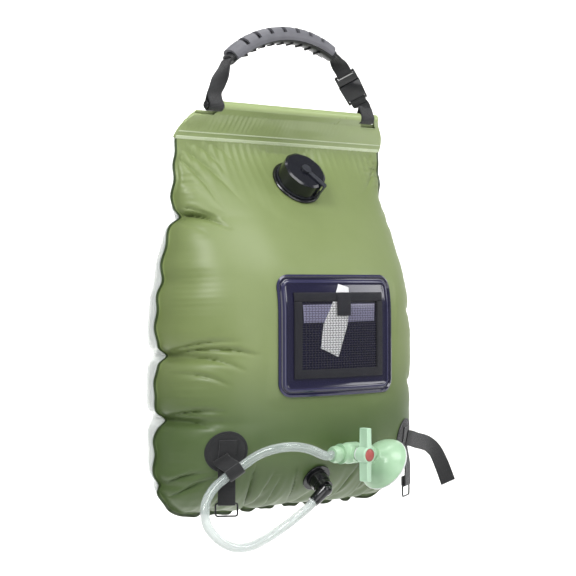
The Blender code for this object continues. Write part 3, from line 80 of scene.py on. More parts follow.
soft_box("key_light", (0.1, -1.5, 1.5), (0, 0, -0.2), 1.2, 27)
soft_box("front_light", (-0.2, -2.0, -0.2), (0, 0, -0.2), 1.2, 9)
soft_box("side_light", (1.6, -1.1, 0.4), (0, 0, -0.3), 0.9, 9)
soft_box("left_light", (-1.6, -0.9, 1.0), (0, 0, -0.1), 0.8, 30)
soft_box("top_light", (0.1, 0.2, 1.3), (0, 0, -0.2), 0.8, 8)
soft_box("backdrop_light", (0.2, 0.9, 1.1), (1.9, 2.7, -0.4), 1.5, 70)
soft_box("low_backdrop_light", (-0.6, 1.2, -0.3), (1.5, 3.0, -0.4), 1.0, 22)
world = bpy.data.worlds.new("room")
world.use_nodes = True
world.node_tree.nodes["Background"].inputs["Color"].default_value = (0.93, 0.95, 1.0, 1)
world.node_tree.nodes["Background"].inputs["Strength"].default_value = 0.25
bpy.context.scene.world = world


# The floor: one roll of matte paper that runs flat under the bag and up behind it in a wide curve.
# It isn't part of the object.
FLOOR_LEVEL = -1.30
PAPER_HALF_WIDTH = 5
PAPER_LENGTH = 9
PAPER_FRONT = -3.5
FLAT_RUN = 1.6
BEND_RADIUS = 1.1


def linear(code):
    """An sRGB hex colour as the linear values that a socket takes, by the sRGB curve."""
    values = [int(code[i:i + 2], 16) / 255 for i in (1, 3, 5)]
    return (*[v / 12.92 if v <= 0.04045 else ((v + 0.055) / 1.055) ** 2.4 for v in values], 1.0)


def new_material(name, colour, roughness, sockets=None):
    """A material with the values that are the same all over it."""
    material = bpy.data.materials.new(name)
    material.use_nodes = True
    shader = material.node_tree.nodes["Principled BSDF"]
    shader.inputs["Base Color"].default_value = linear(colour)
    shader.inputs["Roughness"].default_value = roughness
    for socket, value in (sockets or {}).items():
        shader.inputs[socket].default_value = value
    return material


def new_piece(name, bm, material, body, nodes=(), smooth_angle=35):
    """A finished mesh with its material, riding on a body in place of the CAD nodes that it stands for."""
    mesh = bpy.data.meshes.new(name)
    bm.normal_update()
    bm.to_mesh(mesh)
    bm.free()
    mesh.materials.append(material)
    mesh.shade_smooth()
    mesh.set_sharp_from_angle(angle=math.radians(smooth_angle))
    piece = in_scene(name, mesh)
    if body:
        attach(piece, body)
    if nodes:
        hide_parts(*nodes)
    return piece


def grid(columns, rows, **more):
    """A flat square of cells from -1 to 1, to be bent to a piece's shape."""
    bm = bmesh.new()
    bmesh.ops.create_grid(bm, x_segments=columns, y_segments=rows, size=1, **more)
    return bm


bm = grid(2, 60)
heading = Matrix.Rotation(VIEW_TURN, 3, "Z")
for vert in bm.verts:
    run = (vert.co.y + 1) / 2 * PAPER_LENGTH + PAPER_FRONT
    bend = min(max(run - FLAT_RUN, 0) / BEND_RADIUS, math.pi / 2)
    rise = max(run - FLAT_RUN - BEND_RADIUS * math.pi / 2, 0)
    ahead = min(run, FLAT_RUN) + BEND_RADIUS * math.sin(bend)
    level = FLOOR_LEVEL + BEND_RADIUS * (1 - math.cos(bend)) + rise
    vert.co = heading @ Vector((vert.co.x * PAPER_HALF_WIDTH, ahead, level))
bmesh.ops.recalc_face_normals(bm, faces=bm.faces)
floor = new_piece("floor", bm, new_material("matte_paper", "#f4f4f2", 0.9), None)


# The hose: 11 mm clear soft PVC tube, extruded, with a 7 mm bore. It is pushed over the elbow's barbed tail,
# passes through the left strap and ends in the hand shower's collar, so both its ends are held by the object.
HOSE_RADIUS = 0.0055
HOSE_BORE = 0.0036
HOSE_POINTS = [
    (-0.0103, -0.0805, -0.5472), (-0.0189, -0.08, -0.5541), (-0.0359, -0.0735, -0.5676), (-0.0558, -0.0721, -0.5782),
    (-0.0771, -0.0756, -0.5851), (-0.0991, -0.0785, -0.5899), (-0.1215, -0.0805, -0.5884), (-0.1416, -0.0799, -0.5784),
    (-0.1544, -0.0742, -0.561), (-0.1523, -0.0672, -0.5401), (-0.138, -0.0609, -0.5241), (-0.1191, -0.0601, -0.5117),
    (-0.1019, -0.0678, -0.499), (-0.0879, -0.0776, -0.4873), (-0.0727, -0.0896, -0.4799), (-0.0544, -0.0989, -0.4778),
    (-0.0348, -0.1045, -0.481), (-0.0182, -0.1135, -0.489), (-0.0073, -0.1124, -0.489)]


def eased(points, steps):
    """A smooth line through vectors of any size, with some steps between each two."""
    line = []
    for i in range(len(points) - 1):
        first = points[max(i - 1, 0)]
        last = points[min(i + 2, len(points) - 1)]
        for k in range(steps):
            t = k / steps
            line.append(0.5 * (2 * points[i] + (points[i + 1] - first) * t
                               + (2 * first - 5 * points[i] + 4 * points[i + 1] - last) * t ** 2
                               + (3 * points[i] - first - 3 * points[i + 1] + last) * t ** 3))
    return line + [points[-1]]


def add_node(material, kind, values, links, **settings):
    """One node of a material: its properties, its sockets' values, and the outputs that feed its inputs."""
    node = material.node_tree.nodes.new("ShaderNode" + kind)
    for key, value in settings.items():
        setattr(node, key, value)
    for key, value in values.items():
        node.inputs[key].default_value = value
    for key, source in links.items():
        material.node_tree.links.new(source, node.inputs[key])
    return node


def shade(material, **links):
    """Feeds the shader's sockets from nodes: colour, roughness and normal."""
    sockets = {"colour": "Base Color", "roughness": "Roughness", "normal": "Normal"}
    shader = material.node_tree.nodes["Principled BSDF"]
    for key, source in links.items():
        material.node_tree.links.new(source, shader.inputs[sockets[key]])


# Extruded clear PVC: wet-looking and even, with a faint cloud of haze.
clear_tube = new_material("clear_extruded_pvc", "#d5dedb", 0.09, {"IOR": 1.53, "Transmission Weight": 0.5,
                                                                   "Alpha": 0.58, "Coat Weight": 0.5})
place = add_node(clear_tube, "TexCoord", {}, {}).outputs["Object"]
haze = add_node(clear_tube, "TexNoise", {"Scale": 60.0, "Detail": 3.0}, {"Vector": place})
shade(clear_tube, roughness=add_node(clear_tube, "MapRange", {"To Min": 0.05, "To Max": 0.16},
                                     {"Value": haze.outputs["Fac"]}).outputs[0])
# The bore's wall is the same PVC, a little duller.
tube_wall = new_material("clear_tube_bore", "#b9c6c2", 0.2, {"Alpha": 0.26})
place = add_node(tube_wall, "TexCoord", {}, {}).outputs["Object"]
haze = add_node(tube_wall, "TexNoise", {"Scale": 90.0}, {"Vector": place})
shade(tube_wall, roughness=add_node(tube_wall, "MapRange", {"To Min": 0.12, "To Max": 0.3},
                                    {"Value": haze.outputs["Fac"]}).outputs[0])


def tube(name, line, radius, material, caps):
    """A round tube of the bag's along a line of points."""
    curve = bpy.data.curves.new(name, "CURVE")
    curve.dimensions = "3D"
    curve.bevel_depth = radius
    curve.bevel_resolution = 6
    curve.use_fill_caps = caps
    spline = curve.splines.new("POLY")
    spline.points.add(len(line) - 1)
    for point, spot in zip(spline.points, line):
        point.co = (*spot, 1)
    curve.materials.append(material)
    piece = in_scene(name, curve)
    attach(piece, "bag")
    return piece


hose_line = eased([Vector(p) for p in HOSE_POINTS], 5)
bore = tube("hose_bore", hose_line, HOSE_BORE, tube_wall, False)
hose = tube("clear_hose", hose_line, HOSE_RADIUS, clear_tube, True)
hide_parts("hose")


# The bag: two sheets of PVC film, green in front and clear behind, welded together round the sides and foot.
# Filled, each swells to a pillow, and the welds pull in to short puckers that fade over the fill.
HEM_TOP = Vector((0.022, 0, -0.074))
BAG_HEIGHT = 0.490
HEM_HEIGHT = 0.045
BAG_HALF = 0.180
WELD_HALF = 0.151
CORNER = 0.050
WIDENING = 0.255
WELD_EDGE = 0.006
SEAM_Y = 0.026
FILM = 0.0008
HALF_GAP = 0.00015
FRONT_DEPTH = 0.110
BACK_DEPTH = 0.102
SHOULDER = 0.205
FULL_TO = 0.360
ROUNDNESS = 2.3
NECK_DOWN = 0.094
NECK_TILT = math.radians(38)
NECK_FLAT = 0.045
NECK_FADE = 0.033
HOLD_FADE = 0.020
# What is welded on holds the film smooth: x, down, half width and half height, metres.
HELD_FLAT = [(0.006, 0.278, 0.084, 0.068), (0, 0.094, 0.024, 0.018), (-0.134, 0.410, 0.016, 0.016),
             (0.134, 0.410, 0.016, 0.016), (-0.0145, 0.447, 0.010, 0.010)]


def smooth(share):
    """0 to 1 with a soft start and end."""
    share = min(max(share, 0), 1)
    return share * share * (3 - 2 * share)


def half_width(down):
    """From the middle to the weld's inner line."""
    width = WELD_HALF + (BAG_HALF - WELD_HALF) * smooth((down - HEM_HEIGHT) / WIDENING)
    corner = min(max(down - (BAG_HEIGHT - CORNER), 0), CORNER)
    return width - CORNER + math.sqrt(CORNER ** 2 - corner ** 2)


def swell(x, down, depth):
    """How far the filled film stands off the weld's plane."""
    rise = min(max((down - HEM_HEIGHT) / SHOULDER, 0), 1)
    fall = min(max((down - FULL_TO) / (BAG_HEIGHT - FULL_TO), 0), 1)
    across = min(abs(x) / half_width(down), 1)
    return (depth * math.sin(math.pi / 2 * rise) ** 1.3 * (1 - fall ** ROUNDNESS) ** (1 / ROUNDNESS)
            * (1 - across ** ROUNDNESS) ** (1 / ROUNDNESS))


def front_y(x, down):
    """The front film's outer face, held flat under the filler's flange."""
    seam = SEAM_Y - HALF_GAP - FILM
    y = seam - swell(x, down, FRONT_DEPTH)
    reach = math.hypot(x, (down - NECK_DOWN) / math.cos(NECK_TILT))
    hold = 1 - smooth((reach - NECK_FLAT) / NECK_FADE)
    flat = seam - swell(0, NECK_DOWN, FRONT_DEPTH) - math.tan(NECK_TILT) * (down - NECK_DOWN)
    return min(y + (flat - y) * hold, seam)


def front_normal(x, down):
    """The way out of the front film's face."""
    step = 0.0008
    slope_x = (front_y(x + step, down) - front_y(x - step, down)) / (2 * step)
    slope_down = (front_y(x, down + step) - front_y(x, down - step)) / (2 * step)
    return Vector((slope_x, -1, -slope_down)).normalized()


def on_front(x, down, off=0.0):
    """A place at a height above the front film, in the model's own frame."""
    return HEM_TOP + Vector((x, front_y(x, down), -down)) + front_normal(x, down) * off


def calm(x, down):
    """0 where a welded piece holds the film smooth, 1 away from all of them."""
    free = 1
    for middle, level, wide, tall in HELD_FLAT:
        free *= smooth(math.hypot(max(abs(x - middle) - wide, 0), max(abs(down - level) - tall, 0)) / HOLD_FADE)
    return free


# Creases that the welds draw into the fill, each from the seam inwards: x, down, x, down, width and depth, metres.
FRONT_CREASES = [
    (-0.174, 0.137, -0.117, 0.152, 0.0027, 0.0120), (-0.170, 0.128, -0.128, 0.141, 0.0023, 0.0039),
    (-0.165, 0.146, -0.140, 0.160, 0.0025, 0.0018), (-0.190, 0.303, -0.128, 0.284, 0.0026, 0.0067),
    (-0.190, 0.303, -0.108, 0.299, 0.0027, 0.0087), (-0.184, 0.307, -0.120, 0.316, 0.0026, 0.0059),
    (-0.186, 0.322, -0.134, 0.334, 0.0024, 0.0038), (-0.188, 0.377, -0.140, 0.364, 0.0026, 0.0083),
    (-0.186, 0.379, -0.146, 0.386, 0.0024, 0.0053), (-0.180, 0.452, -0.146, 0.434, 0.0027, 0.0070),
    (-0.170, 0.465, -0.138, 0.440, 0.0023, 0.0045), (-0.118, 0.494, -0.124, 0.452, 0.0024, 0.0052),
    (-0.070, 0.496, -0.098, 0.426, 0.0030, 0.0098), (-0.062, 0.494, -0.074, 0.436, 0.0023, 0.0052),
    (-0.044, 0.494, -0.064, 0.444, 0.0023, 0.0056), (-0.006, 0.496, -0.044, 0.436, 0.0029, 0.0092),
    (0.028, 0.496, 0.006, 0.448, 0.0024, 0.0059), (0.050, 0.494, 0.048, 0.436, 0.0026, 0.0067),
    (0.088, 0.496, 0.076, 0.440, 0.0029, 0.0078), (0.112, 0.492, 0.098, 0.446, 0.0024, 0.0052),
    (-0.154, 0.052, -0.090, 0.120, 0.0035, 0.0021), (-0.150, 0.070, -0.118, 0.128, 0.0032, 0.0019),
    (-0.132, 0.048, -0.096, 0.084, 0.0026, 0.0016), (-0.108, 0.047, -0.078, 0.074, 0.0023, 0.0011),
    (0.154, 0.054, 0.104, 0.104, 0.0032, 0.0019), (0.160, 0.110, 0.128, 0.130, 0.0029, 0.0022),
    (0.188, 0.252, 0.138, 0.246, 0.0029, 0.0059), (0.188, 0.344, 0.138, 0.332, 0.0029, 0.0063),
    (0.186, 0.420, 0.148, 0.408, 0.0027, 0.0059), (0.172, 0.467, 0.144, 0.440, 0.0024, 0.0052)]
# Where a crease meets the seam it draws the outline in: place along the side or foot, depth and width, metres.
LEFT_NOTCHES = [(0.139, 0.0090, 0.006), (0.139, 0.0050, 0.020), (0.215, 0.0024, 0.009), (0.302, 0.0120, 0.006),
                (0.302, 0.0060, 0.022), (0.377, 0.0100, 0.006), (0.377, 0.0050, 0.018), (0.452, 0.0060, 0.006)]
RIGHT_NOTCHES = [(0.110, 0.0030, 0.009), (0.252, 0.0038, 0.009), (0.344, 0.0042, 0.008), (0.420, 0.0042, 0.008)]
FOOT_NOTCHES = [(-0.118, 0.0055, 0.006), (-0.069, 0.0110, 0.006), (-0.040, 0.0040, 0.006), (-0.006, 0.0100, 0.006),
                (0.029, 0.0058, 0.005), (0.052, 0.0062, 0.005), (0.088, 0.0075, 0.006), (0.112, 0.0045, 0.005)]
# A crease's section, in parts of its depth and of its width: two soft ridges, a wide dip and a sharp valley.
RIDGES = [(0.26, 2.2, 1.6), (0.14, -2.1, 1.5)]
DIP = 0.4
DIP_WIDTH = 5
VALLEY = 1.4
VALLEY_SHARPNESS = 1.3
CREASE_REACH = 12
CREASE_BOW = 0.10
# How far along its length a crease starts before the seam and dies out in the fill.
CREASE_START = -0.3
CREASE_END = 1.15


def creased(x, down, creases):
    """Sharp valleys with a soft ridge on both sides, deepest near the seam and gone at the inner end."""
    height = 0
    for x0, d0, x1, d1, wide, deep in creases:
        length = math.hypot(x1 - x0, d1 - d0)
        along = ((x - x0) * (x1 - x0) + (down - d0) * (d1 - d0)) / length ** 2
        if CREASE_START < along < CREASE_END:
            bow = CREASE_BOW * length * math.sin(math.pi * min(max(along, 0), 1))
            off = (((x - x0) * (d1 - d0) - (down - d0) * (x1 - x0)) / length - bow) / wide
            if abs(off) < CREASE_REACH:
                taper = smooth((CREASE_END - along) * 1.25)
                ridges = sum(high * math.exp(-((off - middle) / spread) ** 2) for high, middle, spread in RIDGES)
                dip = DIP * math.exp(-(off / DIP_WIDTH) ** 2)
                height += deep * taper * (ridges - dip - VALLEY * math.exp(-VALLEY_SHARPNESS * abs(off)))
    return height


def notched(place, notches):
    """How far the outline is drawn in at a place along it."""
    return sum(deep * math.exp(-((place - middle) / wide) ** 2) for middle, deep, wide in notches)


# The pitch of the puckers along the seams and of the pleats under the hem, metres.
SIDE_PITCH = 0.027
FINE_SIDE_PITCH = 0.0085
FOOT_PITCH = 0.030
FINE_FOOT_PITCH = 0.0090
PLEAT_PITCH = 0.0115


def fading(distance, reach):
    """1 at an edge, less and less away from it."""
    return math.exp(-distance / reach)


def wave(turns, shift=0):
    """A sine by whole turns, shifted by an angle in radians."""
    return math.sin(2 * math.pi * turns + shift)


def puckered(x, down, seed):
    """How far a filled film stands out or in at its puckers and folds."""
    side = 1 if x > 0 else -1
    from_side = max(half_width(down) - abs(x), 0)
    from_foot = max(BAG_HEIGHT - down, 0)
    from_top = max(down - HEM_HEIGHT, 0)
    drift = noise.noise((3 * side + seed, down * 11, 0.5))
    patchy = 0.5 + noise.noise((5 * side + seed, down * 23, 4.5))
    beat = wave(down / SIDE_PITCH + 1.6 * drift, side + seed)
    fine = wave(down / FINE_SIDE_PITCH + 2.9 * drift + 9 * from_side, 2 * side)
    along_side = (0.0008 * beat * fading(from_side, 0.014)
                  + 0.0020 * patchy * fine * fading(from_side, 0.011)) * (1 - fading(from_side, 0.004))
    drift = noise.noise((x * 11, seed + 7.0, 0.2))
    patchy = 0.5 + noise.noise((x * 23, seed + 2.0, 3.5))
    beat = wave(x / FOOT_PITCH + 1.6 * drift, seed)
    fine = wave(x / FINE_FOOT_PITCH + 2.6 * drift + 8 * from_foot)
    along_foot = (0.0020 * beat * fading(from_foot, 0.020)
                  + 0.0015 * patchy * fine * fading(from_foot, 0.015)) * (1 - fading(from_foot, 0.004))
    pleat = wave(x / PLEAT_PITCH + 0.9 * drift, 2 * seed) * (0.6 + patchy)
    under_hem = 0.0009 * pleat * fading(from_top, 0.020) * (1 - fading(from_top, 0.005))
    room = min(from_side, from_foot, from_top, 0.05) / 0.05
    slow = (0.0040 * noise.noise((x * 8, down * 6, seed)) + 0.0022 * noise.noise((x * 19, down * 15, seed))) * room
    return along_side + along_foot + under_hem + slow


# The square sheet's outer ring, past these shares of it, is the weld's edge at the sides and the foot.
SIDE_SEAM = 0.975
FOOT_SEAM = 0.980
FRONT_PULL = 0.030
BACK_PULL = 0.026
FOOT_PULL = 0.018
FOOT_REACH = 0.05


def film_point(across, up, side, seed):
    """A place on one film, the front's with side -1, from its place on a square sheet."""
    inner = min(max(across / SIDE_SEAM, -1), 1)
    level = min(max((up + FOOT_SEAM) / (1 + FOOT_SEAM), 0), 1)
    # The rows and columns crowd towards the edges, where the film curves most
    run = 2 * level - 1
    run = 0.5 * run + 0.5 * math.sin(math.pi / 2 * run)
    down = BAG_HEIGHT - (BAG_HEIGHT - HEM_HEIGHT) * (1 + run) / 2
    wide = half_width(down)
    x = wide * (0.45 * inner + 0.55 * math.sin(math.pi / 2 * inner))
    out = puckered(x, down, seed) if abs(inner) < 1 and 0 < level < 1 else 0
    from_side = wide - abs(x)
    from_foot = BAG_HEIGHT - down
    below_hem = smooth((down - HEM_HEIGHT) / 0.03)
    if side < 0:
        rim = (1 - fading(max(from_side, 0), 0.0025)) * (1 - fading(max(from_foot, 0), 0.0025))
        out = (out + creased(x, down, FRONT_CREASES) * rim) * calm(x, down)
        y = min(front_y(x, down) - out, SEAM_Y - HALF_GAP - FILM)
    else:
        y = SEAM_Y + HALF_GAP + FILM + max(swell(x, down, BACK_DEPTH) + out, 0)
    corner = min(max((down - (BAG_HEIGHT - CORNER)) / CORNER, 0), 1)
    drawn = notched(down, LEFT_NOTCHES if x < 0 else RIGHT_NOTCHES) + 0.0005 * wave(down / 0.041)
    drawn *= fading(from_side, FRONT_PULL if side < 0 else BACK_PULL) * below_hem * (1 - corner)
    lifted = (notched(x, FOOT_NOTCHES) + 0.0010 * wave(x / 0.037)) * fading(from_foot, FOOT_PULL)
    ripple = 0.0018 * wave(down / 0.033 + x / 0.037) * below_hem
    edge = min(fading(from_side, 0.006) + fading(from_foot, 0.006), 1)
    margin = WELD_EDGE * max(abs(across) - SIDE_SEAM, 0) / (1 - SIDE_SEAM)
    foot = WELD_EDGE * max(-FOOT_SEAM - up, 0) / (1 - FOOT_SEAM)
    x += (margin * math.sqrt(1 - corner ** 2) - drawn) * math.copysign(1, x if abs(x) > 0.00001 else across)
    down += max(margin * corner, foot) - (lifted if from_foot < FOOT_REACH else 0)
    return HEM_TOP + Vector((x, y + ripple * edge, -down))


def clouded(material, place, colours, roughness, cloud):
    """A soft cloud through a material: the cloud, the mix of two close colours by it, and a gloss that it varies."""
    cloud = add_node(material, "TexNoise", cloud, {"Vector": place}).outputs["Fac"]
    tint = add_node(material, "Mix", {6: linear(colours[0]), 7: linear(colours[1])}, {0: cloud}, data_type="RGBA")
    gloss = add_node(material, "MapRange", {"To Min": roughness[0], "To Max": roughness[1]}, {"Value": cloud})
    return cloud, tint.outputs[2], gloss.outputs[0]


# Plasticised PVC film, calendered: soft satin gloss with a faint cloud and a fine roller grain.
GRAIN_DEPTH = 0.22
# The film is painted darker towards the bottom between these two heights: painted shade for the low part, which faces
# down, away from the lamps.
SHADE_FROM_HEIGHT = -0.36
SHADE_TO_HEIGHT = -0.47


def film_material(name, colours, roughness, sockets, grain_depth=GRAIN_DEPTH, painted_shade_colours=None):
    """Film with a grained face, clouded in colour and gloss, and with painted shade low down where shade colours are
    given.
    """
    material = new_material(name, colours[0], roughness[0], sockets)
    place = add_node(material, "TexCoord", {}, {}).outputs["Object"]
    cloud, tint, gloss = clouded(material, place, colours, roughness,
                                 {"Scale": 14.0, "Detail": 5.0, "Roughness": 0.6})
    if painted_shade_colours:
        painted_shade_tint = add_node(material, "Mix", {6: linear(painted_shade_colours[0]), 7: linear(painted_shade_colours[1])}, {0: cloud},
                       data_type="RGBA")
        level = add_node(material, "SeparateXYZ", {}, {0: place})
        share = add_node(material, "MapRange", {"From Min": SHADE_FROM_HEIGHT, "From Max": SHADE_TO_HEIGHT},
                         {"Value": level.outputs["Z"]}, interpolation_type="SMOOTHSTEP")
        tint = add_node(material, "Mix", {}, {0: share.outputs[0], 6: tint, 7: painted_shade_tint.outputs[2]},
                        data_type="RGBA").outputs[2]
    # Roller grain of about 0.5 mm, drawn at 1 mm so that it shows.
    grain = add_node(material, "TexVoronoi", {"Scale": 1000.0}, {"Vector": place})
    lumps = add_node(material, "TexNoise", {"Scale": 120.0, "Detail": 3.0}, {"Vector": place})
    both = add_node(material, "Math", {}, {0: grain.outputs["Distance"], 1: lumps.outputs["Fac"]}, operation="ADD")
    relief = add_node(material, "Bump", {"Strength": grain_depth, "Distance": 0.0002}, {"Height": both.outputs[0]})
    shade(material, colour=tint, roughness=gloss, normal=relief.outputs[0])
    return material


# The last two colours are painted shade: the film is painted darker low down, where it faces away from the lamps.
green_film = film_material("green_pvc_film", ("#74834c", "#818f5c"), (0.40, 0.52),
                           {"Coat Weight": 0.12, "Coat Roughness": 0.3}, GRAIN_DEPTH, ("#4c5f34", "#56693d"))
clear_film = film_material("clear_pvc_film", ("#c6cfca", "#d6dcd8"), (0.18, 0.30), {"Alpha": 0.72, "IOR": 1.5,
                                                                                    "Coat Weight": 0.3})


# The share of the square sheet past which it is the weld's outermost 3 mm, and the hole for the filler.
WELD_RIM = 0.986
FILLER_HOLE = 0.0205


def film(name, side, seed, material, node, columns, rows):
    """One whole sheet. Its 0.8 mm would show nowhere but at the weld's edge, so it is modelled as one skin."""
    bm = grid(columns, rows)
    for face in bm.faces:
        middle = face.calc_center_median()
        if side < 0 and max(abs(middle.x), -middle.y) > WELD_RIM:
            face.material_index = 1
    for vert in bm.verts:
        vert.co = film_point(vert.co.x, vert.co.y, side, seed)
    if side > 0:
        bmesh.ops.reverse_faces(bm, faces=bm.faces)
    if side < 0:
        neck = on_front(0, NECK_DOWN)
        hole = [f for f in bm.faces if (f.calc_center_median() - neck).length < FILLER_HOLE]
        bmesh.ops.delete(bm, geom=hole, context="FACES")
    return new_piece(name, bm, material, "bag", [node], 70)


front_film = film("front_film", -1, 1.3, green_film, "front_panel", 290, 335)
back_film = film("back_film", 1, 4.1, clear_film, "back_panel", 200, 220)
# The cut edge of the weld, where both films are pressed to one, is darker.
front_film.data.materials.append(film_material("green_pvc_weld_edge", ("#2f3d1e", "#3a4a28"), (0.30, 0.42),
                                               {"Coat Weight": 0.2}))


# The hem: a strip of the same green film folded over the rod and welded to itself and to the bag in a ribbed band.
# A notch at each end bares the rod for the webbing.
ROD_DOWN = 0.0068
ROD_RADIUS = 0.005
ROD_HALF = 0.130
HEM_BAND = 0.009
LEFT_WEB = -0.1175
RIGHT_WEB = 0.1135
NOTCH_HALF = 0.0108
NOTCH_DEPTH = 0.0165
HEM_FOOT = HEM_HEIGHT - 0.0006
ROUND_ROD = 0.006
hem_root = Vector((0, -ROD_DOWN))
hem_leg = Vector((SEAM_Y, -HEM_FOOT)) - hem_root
hem_run = hem_leg.length
hem_along = hem_leg.normalized()
hem_out = Vector((hem_along.y, -hem_along.x))


def hem_path():
    """The fold's section from the back leg's foot, round the rod, to the front leg's foot.

    Each place has its distance from the rod along the leg, its distance off the leg's middle, and its (y, z).
    """
    leg = HALF_GAP + FILM / 2
    radius = ROD_RADIUS + 0.0004 + FILM / 2
    legs = [hem_run * (1 - i / 16) for i in range(14)]
    path = [(far, leg + 0.0012 * smooth((hem_run - HEM_BAND - far) / 0.02)) for far in legs]
    start = math.radians(80)
    turn = [start + (2 * math.pi - 2 * start) * i / 24 for i in range(25)]
    fold = [(radius * math.cos(angle), radius * math.sin(angle)) for angle in turn]
    whole = path + fold + [(far, -off) for far, off in reversed(path)]
    return [(far, off, hem_root + hem_along * far + hem_out * off) for far, off in whole]


def hem_half(far):
    """Half the hem's width: it widens from the rod down to the weld."""
    return ROD_HALF + (WELD_HALF + WELD_EDGE - ROD_HALF) * math.sin(math.pi / 2 * min(max(far / hem_run, 0), 1))


def walled(piece, thickness, offset=0):
    """Gives a sheet its thickness."""
    wall = piece.modifiers.new("wall", "SOLIDIFY")
    wall.thickness = thickness
    wall.offset = offset


path = hem_path()
bm = grid(150, len(path) - 1)
for centre in (LEFT_WEB, RIGHT_WEB):
    for edge in (centre - NOTCH_HALF, centre + NOTCH_HALF):
        geom = bm.verts[:] + bm.edges[:] + bm.faces[:]
        bmesh.ops.bisect_plane(bm, geom=geom, dist=0.00001, plane_co=(edge / ROD_HALF, 0, 0), plane_no=(1, 0, 0))
notch = []
for face in bm.faces:
    middle = face.calc_center_median()
    far = path[min(max(round((middle.y + 1) / 2 * (len(path) - 1)), 0), len(path) - 1)][0]
    # The left notch runs out at the hem's end
    beside = min(middle.x * ROD_HALF - LEFT_WEB, abs(middle.x * ROD_HALF - RIGHT_WEB))
    if beside < NOTCH_HALF and far < NOTCH_DEPTH - ROD_DOWN:
        notch.append(face)
bmesh.ops.delete(bm, geom=notch, context="FACES")
for vert in bm.verts:
    far, off, place = path[round((vert.co.y + 1) / 2 * (len(path) - 1))]
    half = hem_half(far)
    x = vert.co.x * half
    slack = math.sin(math.pi * min(max(far - ROUND_ROD, 0) / (hem_run - ROUND_ROD - HEM_BAND), 1))
    patchy = 0.15 + 0.4 * noise.noise((x * 17, 1.0, 2.0)) + 1.2 * smooth((0.01 - x) / 0.09)
    crinkle = 0.0008 * noise.noise((x * 45, far * 30, 2.0)) + 0.00055 * patchy * wave(
        x / 0.0062 + 1.5 * noise.noise((x * 14, 3.0, 0)) + far * 6)
    push = slack * crinkle * (1 if off > 0 else -1)
    if abs(vert.co.x) > 0.9999:
        # The fold's ends are pinched shut past the rod's ends
        x += math.copysign(0.0012, x)
        push -= off
    elif abs(vert.co.x) > 0.985:
        x = math.copysign(half + 0.0006, x)
    vert.co = HEM_TOP + Vector((x, place.x + hem_out.x * push, place.y + hem_out.y * push))
bmesh.ops.recalc_face_normals(bm, faces=bm.faces)
# Two layers of the same film with air between them are paler than the filled front, and the hem is painted paler
# still: painted light that lifts the hem, which faces down, away from the lamps.
hem_film_painted_paler = film_material("folded_green_pvc_film_painted_paler", ("#9aa973", "#a8b782"), (0.24, 0.34), {"Coat Weight": 0.4,
                                                                                         "Coat Roughness": 0.15})
hem = new_piece("hem_fold", bm, hem_film_painted_paler, "bag", ["hem_sleeve"], 60)
walled(hem, FILM)

# The weld's band and the line above it: pale, pressed strips with fine upright ribs, left by the heated bar.
RIB_PITCH = 0.0026
RIB_HEIGHT = 0.00022
BAND_THICKNESS = 0.0003
weld_band = film_material("welded_pvc_band", ("#c6d3aa", "#dbe5c6"), (0.22, 0.32), {"Coat Weight": 0.4})
for name, band_down, band_width in (("hem_weld_band", HEM_HEIGHT - 0.0036, 0.0046),
                                    ("hem_weld_line", HEM_HEIGHT - 0.0092, 0.0013)):
    bm = grid(420, 6)
    for vert in bm.verts:
        level = (vert.co.y + 1) / 2
        down = band_down + band_width * level
        far = (down - ROD_DOWN) / (HEM_FOOT - ROD_DOWN) * hem_run
        half = hem_half(far) - 0.001
        rib = RIB_HEIGHT * wave(vert.co.x * half / RIB_PITCH) * math.sin(math.pi * level)
        off = HALF_GAP + FILM + 0.00035 + rib
        spot = hem_root + hem_along * far + hem_out * off
        vert.co = HEM_TOP + Vector((vert.co.x * half, spot.x, spot.y))
    bmesh.ops.recalc_face_normals(bm, faces=bm.faces)
    walled(new_piece(name, bm, weld_band, "bag", [], 80), BAND_THICKNESS, 1)


# The rod: a 10 mm tube of black ABS, extruded and cut square, that lies loose in the hem's fold.
# It keeps the hem straight, and the straps loop round it near both ends.
def moulded(name, colours, roughness, spot_mm, grain_mm, sockets=None):
    """Injection-moulded plastic: near-even colour, gloss that varies in soft clouds, and the tool's fine grain."""
    material = new_material(name, colours[0], roughness[0], sockets)
    place = add_node(material, "TexCoord", {}, {}).outputs["Object"]
    _, tint, gloss = clouded(material, place, colours, roughness, {"Scale": 1000 / spot_mm, "Detail": 4.0})
    grain = add_node(material, "TexNoise", {"Scale": 1000 / grain_mm, "Detail": 2.0}, {"Vector": place})
    relief = add_node(material, "Bump", {"Strength": 0.3, "Distance": 0.0001}, {"Height": grain.outputs["Fac"]})
    shade(material, colour=tint, roughness=gloss, normal=relief.outputs[0])
    return material


def soft_edge(piece, width, from_angle):
    """Rounds off the edges that are sharper than an angle, in degrees."""
    edge = piece.modifiers.new("edge", "BEVEL")
    edge.width = width
    edge.segments = 2
    edge.limit_method = "ANGLE"
    edge.angle_limit = math.radians(from_angle)


def dressed(node, name, material, body, edge):
    """A CAD node's mesh, merged, with smooth faces and softly broken edges, in the place of the node."""
    bm = bmesh.new()
    bm.from_mesh(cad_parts[node].data)
    bmesh.ops.remove_doubles(bm, verts=bm.verts, dist=0.000002)
    bmesh.ops.dissolve_limit(bm, angle_limit=math.radians(0.5), verts=bm.verts, edges=bm.edges)
    piece = new_piece(name, bm, material, body, [node], 32)
    if edge:
        soft_edge(piece, edge, 40)


black_abs = moulded("gloss_black_abs", ("#0c0d10", "#16171b"), (0.16, 0.28), 9, 0.5, {"Coat Weight": 0.3})
dressed("hem_rod", "hem_rod_tube", black_abs, "bag", 0.0006)


